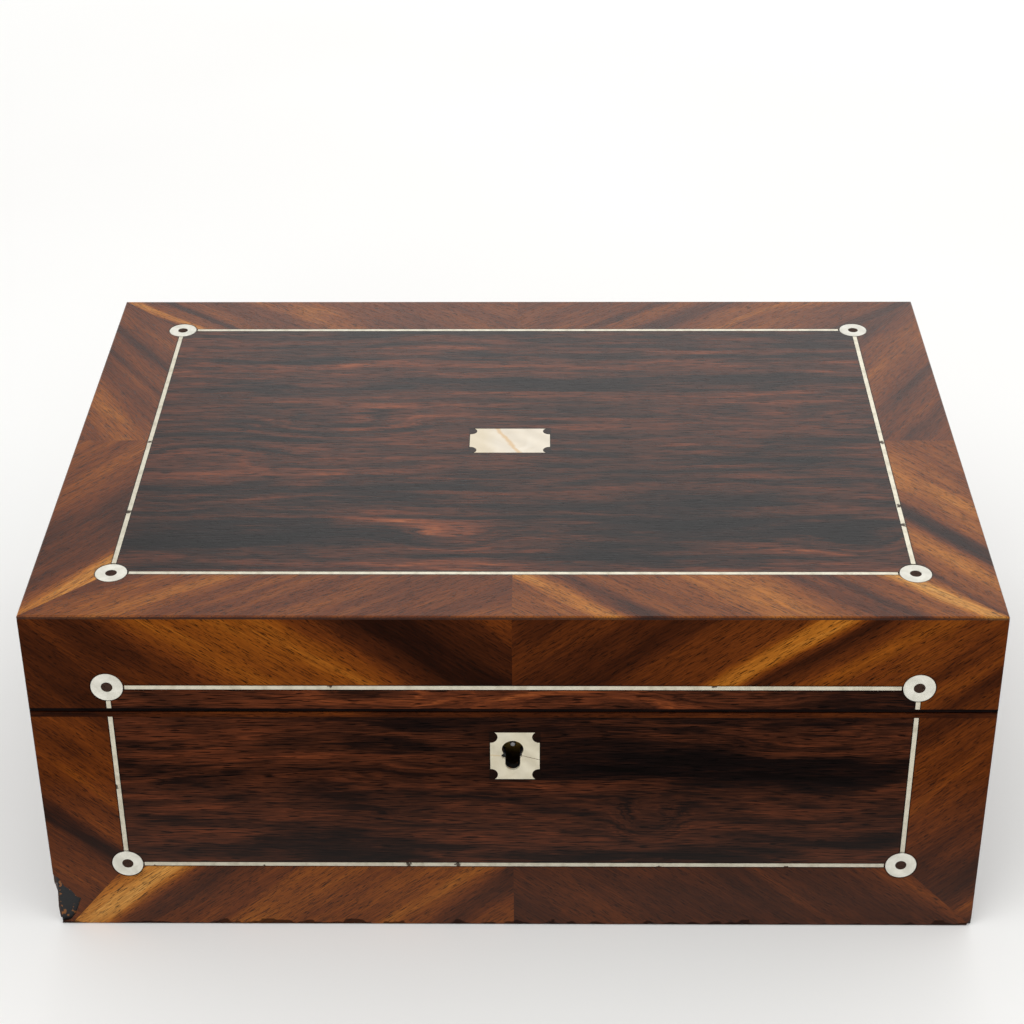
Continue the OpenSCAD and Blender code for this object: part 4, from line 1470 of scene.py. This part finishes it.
@dataclass
class LidPad:
    """The lid's lining: wadding under silk, tied down at buttons in a diamond pattern.

    across and along count the lines of the tufting grid, margin is the width of the rolled border,
    and tie_r the radius that a thread gathers. dimple_r is how far a tuft's hollow spreads, spare
    how much larger the silk was cut than its space, pressure how hard the wadding pushes, and steps
    how long it is left to settle.
    """

    node: str = "lid_lining_pad"
    body: str = "lid"
    step: float = 2.8 * MM
    across: int = 9
    along: int = 7
    margin: float = 9 * MM
    button_r: float = 2.6 * MM
    tie_r: float = 2.2 * MM
    dimple_r: float = 6 * MM
    spare: float = 0.05
    pressure: float = 5.0
    steps: int = 20

    def build(self) -> list[bpy.types.Object]:
        """Models the quilted pad, its buttons and the braid round it.

        Returns:
            The three pieces.
        """
        low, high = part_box(self.node)
        inner_low = low + Vector((self.margin, self.margin, 0))
        inner_high = high - Vector((self.margin, self.margin, 0))
        size = inner_high - inner_low
        pitch = (size.x / (self.across - 1), size.y / (self.along - 1))
        tufts = [
            Vector((inner_low.x + i * pitch[0], inner_low.y + j * pitch[1], 0))
            for i in range(1, self.across - 1)
            for j in range(1, self.along - 1)
            if (i + j) % 2 == 0
        ]
        pad = slab("lid_pad_silk", low, high, self.step)
        self._shape(pad, tufts, low, high)
        self._settle(pad, tufts, low, high)
        self._keep_inside(pad, low, high)
        dress(pad, SILK.material())
        smooth(pad, 75)
        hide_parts(self.node)
        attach(pad, self.body)

        thick = high.z - low.z
        buttons = self._buttons(tufts, high.z - 0.36 * thick)
        braid = self._braid(inner_low, inner_high, high.z - 0.42 * thick)
        return [pad, buttons, braid]

    def _tuft_distance(self, point: Vector, tufts: list[Vector]) -> float:
        """Distance from a point to the nearest tuft, seen square on."""
        return min(math.hypot(point.x - tuft.x, point.y - tuft.y) for tuft in tufts)

    def _shape(
        self, pad: bpy.types.Object, tufts: list[Vector], low: Vector, high: Vector
    ) -> None:
        """Gives the slab its first shape: sunk at the tufts, with a rolled border.

        Args:
            pad: the slab.
            tufts: the buttons' places.
            low: the space's lowest corner.
            high: the space's highest corner.
        """
        thick = high.z - low.z
        for vertex in pad.data.vertices:
            if vertex.co.z > (low.z + high.z) / 2:
                continue
            inward = edge_distance(vertex.co, low, high)
            if inward < self.margin:
                depth = 0.2 + 0.5 * math.sin(inward / self.margin * math.pi) ** 0.7
            else:
                near = self._tuft_distance(vertex.co, tufts)
                rise = 1 - math.exp(-((near / self.dimple_r) ** 2))
                depth = 0.25 + 0.25 * rise * min(1.0, (inward - self.margin) / (5 * MM))
            vertex.co.z = high.z - thick * depth

    def _settle(
        self, pad: bpy.types.Object, tufts: list[Vector], low: Vector, high: Vector
    ) -> None:
        """Blows the silk out with its wadding, and lets the spare cloth find its own folds.

        Args:
            pad: the shaped slab.
            tufts: the buttons' places, where the silk is tied.
            low: the space's lowest corner.
            high: the space's highest corner.
        """
        held = [
            vertex.index
            for vertex in pad.data.vertices
            if vertex.co.z > high.z - 0.01 * MM
            or edge_distance(vertex.co, low, high) < self.margin + 0.5 * MM
            or self._tuft_distance(vertex.co, tufts) < self.tie_r
        ]
        pad.vertex_groups.new(name="tied").add(held, 1.0, "REPLACE")
        cloth = pad.modifiers.new("silk", "CLOTH")
        cloth.settings.quality = 6
        cloth.settings.mass = 0.1
        cloth.settings.tension_stiffness = 12
        cloth.settings.compression_stiffness = 6
        cloth.settings.shear_stiffness = 4
        cloth.settings.bending_stiffness = 0.02
        cloth.settings.use_pressure = True
        cloth.settings.uniform_pressure_force = self.pressure
        cloth.settings.shrink_min = -self.spare
        cloth.settings.vertex_group_mass = "tied"
        cloth.settings.effector_weights.gravity = 0
        cloth.collision_settings.use_collision = False
        cloth.point_cache.frame_start = 1
        cloth.point_cache.frame_end = self.steps
        for frame_number in range(1, self.steps + 1):
            bpy.context.scene.frame_set(frame_number)
        apply_modifiers(pad)
        bpy.context.scene.frame_set(1)

    def _keep_inside(self, pad: bpy.types.Object, low: Vector, high: Vector) -> None:
        """Holds the silk within the lining's space, and rounds it once more.

        Args:
            pad: the settled pad.
            low: the space's lowest corner.
            high: the space's highest corner.
        """
        thick = high.z - low.z
        for vertex in pad.data.vertices:
            deep = (high.z - vertex.co.z) / thick
            if deep > 0.5:
                vertex.co.z = high.z - thick * (0.5 + 0.47 * math.tanh((deep - 0.5) / 0.6))
            vertex.co.z = min(vertex.co.z, high.z)
            vertex.co.x = min(max(vertex.co.x, low.x), high.x)
            vertex.co.y = min(max(vertex.co.y, low.y), high.y)
        rounder = pad.modifiers.new("rounder", "SUBSURF")
        rounder.levels = rounder.render_levels = 1
        apply_modifiers(pad)

    def _buttons(self, tufts: list[Vector], z: float) -> bpy.types.Object:
        """Models a covered button, and copies it to each tuft.

        Args:
            tufts: the buttons' places.
            z: the height that they are sunk to.

        Returns:
            The joined buttons.
        """
        first = self._button()
        buttons = []
        for tuft in tufts:
            copy = first.copy()
            copy.data = first.data.copy()
            copy.data.transform(Matrix.Translation((tuft.x, tuft.y, z)))
            bpy.context.scene.collection.objects.link(copy)
            buttons.append(copy)
        bpy.data.objects.remove(first, do_unlink=True)
        piece = joined(buttons, "lid_pad_buttons")
        dress(piece, SILK.material())
        smooth(piece, 60)
        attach(piece, self.body)
        return piece

    def _button(self) -> bpy.types.Object:
        """Models one button at the origin: a low dome with a rolled edge and a flat back.

        Returns:
            The button.
        """
        bpy.ops.object.select_all(action="DESELECT")
        bpy.ops.mesh.primitive_uv_sphere_add(segments=16, ring_count=8, radius=self.button_r)
        button = bpy.context.active_object
        edit_all(button)
        bpy.ops.transform.resize(value=(1.0, 1.0, 0.45), center_override=(0, 0, 0))
        bpy.ops.mesh.bisect(
            plane_co=(0, 0, 0.1 * self.button_r), plane_no=(0, 0, 1),
            use_fill=True, clear_outer=True,
        )
        leave_edit()
        return button

    def _braid(self, low: Vector, high: Vector, z: float) -> bpy.types.Object:
        """Models the twisted braid that covers the join of the quilting and its border.

        Args:
            low: the inner border's lowest corner.
            high: the inner border's highest corner.
            z: the braid's middle height.

        Returns:
            The braid, which is stuffed with cord.
        """
        radius, pitch = 1.1 * MM, 4 * MM
        sides = []
        corners = [
            Vector((low.x, low.y, z)), Vector((high.x, low.y, z)),
            Vector((high.x, high.y, z)), Vector((low.x, high.y, z)),
        ]
        for start, end in zip(corners, corners[1:] + corners[:1]):
            sides.append(self._twist(start, end, radius, pitch))
        piece = joined(sides, "lid_pad_braid")
        dress(piece, RIBBON.material())
        smooth(piece, 70)
        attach(piece, self.body)
        return piece

    def _twist(
        self, start: Vector, end: Vector, radius: float, pitch: float
    ) -> bpy.types.Object:
        """Models one straight length of twisted braid.

        Args:
            start: the middle of its first end.
            end: the middle of its last end.
            radius: its half thickness.
            pitch: the length of one turn.

        Returns:
            The length of braid, closed at both ends.
        """
        length = (end - start).length
        run = (end - start).normalized()
        bpy.ops.object.select_all(action="DESELECT")
        bpy.ops.mesh.primitive_grid_add(
            x_subdivisions=12, y_subdivisions=round(length / pitch * 6), size=1.0
        )
        rope = bpy.context.active_object
        for vertex in rope.data.vertices:
            angle = 2 * math.pi * (vertex.co.x + 0.5)
            along = vertex.co.y * length
            strand = abs(math.cos(1.5 * angle - 3 * math.pi * along / pitch))
            reach = radius * (0.8 + 0.2 * strand)
            vertex.co = Vector((reach * math.cos(angle), reach * math.sin(angle), along))
        edit_all(rope)
        bpy.ops.mesh.remove_doubles(threshold=1e-5)
        bpy.ops.mesh.fill_holes(sides=0)
        bpy.ops.mesh.select_all(action="SELECT")
        bpy.ops.mesh.normals_make_consistent(inside=False)
        leave_edit()
        turned = Vector((0, 0, 1)).rotation_difference(run).to_matrix().to_4x4()
        rope.data.transform(Matrix.Translation((start + end) / 2) @ turned)
        return rope


@dataclass
class RibbonTabs:
    """Two loops of silk ribbon, glued inside the tray's end walls, that it is lifted out by.

    bend is the outer radius of the loop's top and turns its number of steps. bow is how far the
    hanging end bows along its length, and belly how far it bows across its width.
    """

    node: str = "tray_ribbons"
    body: str = "tray"
    thickness: float = 0.3 * MM
    turns: int = 14
    bend: float = 3 * MM
    bow: float = 0.4 * MM
    belly: float = 0.25 * MM

    def build(self) -> list[bpy.types.Object]:
        """Models both loops.

        Returns:
            The two ribbons, riding on the tray.
        """
        low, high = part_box(self.node)
        return [
            self._loop("tray_ribbon_left", 1, low, high),
            self._loop("tray_ribbon_right", -1, low, high),
        ]

    def _loop(self, name: str, side: int, low: Vector, high: Vector) -> bpy.types.Object:
        """Models one loop.

        Args:
            name: the piece's name.
            side: 1 for the left loop, -1 for the right.
            low: the lowest corner of both loops.
            high: the highest corner of both loops.

        Returns:
            The ribbon.
        """
        radius = self.bend - self.thickness / 2
        top = high.z - radius - self.thickness / 2
        wall = low.x + self.thickness / 2
        path = [(wall, low.z + (top - low.z) * k / 4) for k in range(5)]
        path += [
            (wall + radius - radius * math.cos(math.pi * k / self.turns),
             top + radius * math.sin(math.pi * k / self.turns))
            for k in range(1, self.turns)
        ]
        path += [
            (wall + 2 * radius - self.bow * math.sin(math.pi * k / 8), top - (top - low.z) * k / 8)
            for k in range(9)
        ]
        width = high.y - low.y
        bpy.ops.object.select_all(action="DESELECT")
        bpy.ops.mesh.primitive_grid_add(x_subdivisions=len(path) - 1, y_subdivisions=8, size=1.0)
        ribbon = bpy.context.active_object
        ribbon.name = name
        ribbon.data.name = name
        for vertex in ribbon.data.vertices:
            k = round((vertex.co.x + 0.5) * (len(path) - 1))
            belly = self.belly * math.cos(math.pi * vertex.co.y) * (1 if k > 4 else 0)
            x, z = path[k]
            vertex.co = Vector((side * (x + belly), vertex.co.y * width * 0.98, z))
        edit_all(ribbon)
        bpy.ops.mesh.normals_make_consistent(inside=False)
        leave_edit()
        thick = ribbon.modifiers.new("thickness", "SOLIDIFY")
        thick.thickness = self.thickness
        thick.offset = 0.0
        apply_modifiers(ribbon)
        dress(ribbon, RIBBON.material())
        smooth(ribbon, 50)
        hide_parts(self.node)
        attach(ribbon, self.body)
        return ribbon


@dataclass
class Tray:
    """The lift-out tray: rosewood walls and dividers on a mahogany floor, with pads and ribbons."""

    pads: VelvetPads = field(default_factory=lambda: VelvetPads("tray_pads", "tray"))
    ribbons: RibbonTabs = field(default_factory=RibbonTabs)

    def build(self) -> list[bpy.types.Object]:
        """Dresses the tray's boards and models its soft pieces.

        Returns:
            The new pieces.
        """
        walls = Timber(
            name="tray_wall_rosewood", species=ROSEWOOD, polish=INSIDE_POLISH, face=Face.TOP,
            grain_deg=0, tone=0.40, seed=60, contrast=0.7, wander_mm=2.0,
        ).material()
        floor = Timber(
            name="tray_floor_mahogany", species=MAHOGANY, polish=INSIDE_POLISH, face=Face.TOP,
            grain_deg=0, tone=0.45, seed=61, contrast=0.6,
        ).material()
        dress_node("tray_walls", walls)
        dress_node("tray_dividers", walls)
        dress_node("tray_floor", floor)
        for node in ("tray_walls", "tray_dividers"):
            ease_edges(node, 0.4 * MM)
        return [self.pads.build(), *self.ribbons.build()]


# ---------------------------------------------------------------- studio


@dataclass
class Studio:
    """Pale floor, even white surroundings, soft lights and the camera."""

    lens: float = 80.2
    eye: tuple[float, float, float] = (0.0086, -0.6791, 0.5062)
    forward: tuple[float, float, float] = (-0.0124, 0.8544, -0.5194)
    right: tuple[float, float, float] = (0.9999, 0.0109, -0.006)
    surroundings: float = 0.85

    def build(self) -> None:
        """Makes the camera, the surroundings, the floor and the lights."""
        scene = bpy.context.scene
        scene.view_settings.view_transform = "Standard"
        self._camera(scene)
        self._world(scene)
        self._floor()
        self._light("key", (-0.5, -0.7, 1.3), 0.9, 5.0)
        self._light("fill", (0.9, -0.5, 0.9), 0.8, 2.5)
        self._light("back", (0.2, 1.3, 0.9), 1.2, 4.0)

    def _camera(self, scene: bpy.types.Scene) -> None:
        """Stands the camera above and in front of the box.

        Args:
            scene: the scene that it looks at.
        """
        data = bpy.data.cameras.new("camera")
        data.lens = self.lens
        data.sensor_width = 36.0
        data.clip_start, data.clip_end = 0.01, 20.0
        camera = bpy.data.objects.new("camera", data)
        scene.collection.objects.link(camera)
        back = -Vector(self.forward).normalized()
        right = Vector(self.right)
        right = (right - back * right.dot(back)).normalized()
        up = back.cross(right)
        turn = Matrix((right, up, back)).transposed().to_4x4()
        camera.matrix_world = Matrix.Translation(Vector(self.eye)) @ turn
        scene.camera = camera

    def _world(self, scene: bpy.types.Scene) -> None:
        """Surrounds the box with even white light.

        Args:
            scene: the scene to light.
        """
        world = bpy.data.worlds.new("white_room")
        world.use_nodes = True
        background = world.node_tree.nodes["Background"]
        background.inputs["Color"].default_value = (1, 1, 1, 1)
        background.inputs["Strength"].default_value = self.surroundings
        scene.world = world

    def _floor(self) -> None:
        """Lays a wide pale sheet under the box."""
        bpy.ops.object.select_all(action="DESELECT")
        bpy.ops.mesh.primitive_plane_add(size=40.0, location=(0, 0, 0))
        floor = bpy.context.active_object
        floor.name = "floor"
        material, tree = new_tree("pale_paper")
        place = add(tree, "TexCoord").outputs["Object"]
        mottle = add(tree, "TexNoise", {"Vector": place, "Scale": 3.0, "Detail": 2.0})
        colour = ramp(
            add(tree, "ValToRGB", {"Fac": mottle.outputs[0]}), ((0.3, "#f1f0ee"), (0.7, "#f4f4f2"))
        )
        shader = add(
            tree, "BsdfPrincipled",
            {"Base Color": colour, "Roughness": 0.9, "Specular IOR Level": 0.1},
        )
        close_tree(tree, shader)
        dress(floor, material)

    def _light(
        self, name: str, place: tuple[float, float, float], size: float, power: float
    ) -> None:
        """Hangs one soft square light that looks at the box.

        Args:
            name: the light's name.
            place: its middle, in metres.
            size: its side, in metres.
            power: its power, in watts.
        """
        data = bpy.data.lights.new(name, "AREA")
        data.size = size
        data.energy = power
        light = bpy.data.objects.new(name, data)
        bpy.context.scene.collection.objects.link(light)
        light.location = place
        aim = Vector((0, 0, 0.06)) - Vector(place)
        light.rotation_euler = aim.to_track_quat("-Z", "Y").to_euler()


# ---------------------------------------------------------------- main


def main() -> None:
    """Builds the studio and each sub-assembly in order."""
    logging.basicConfig(level=logging.INFO, format="%(message)s")
    Studio().build()
    VeneerWork().dress()
    Carcass().dress()
    Inlay().dress()
    Fittings().dress()
    made = [VelvetPads("base_floor_pad", "base").build()]
    made += LidPad().build()
    made += Tray().build()
    for piece in made:
        LOG.info("built %s: %d faces", piece.name, len(piece.data.polygons))


if __name__ == "__main__":
    main()
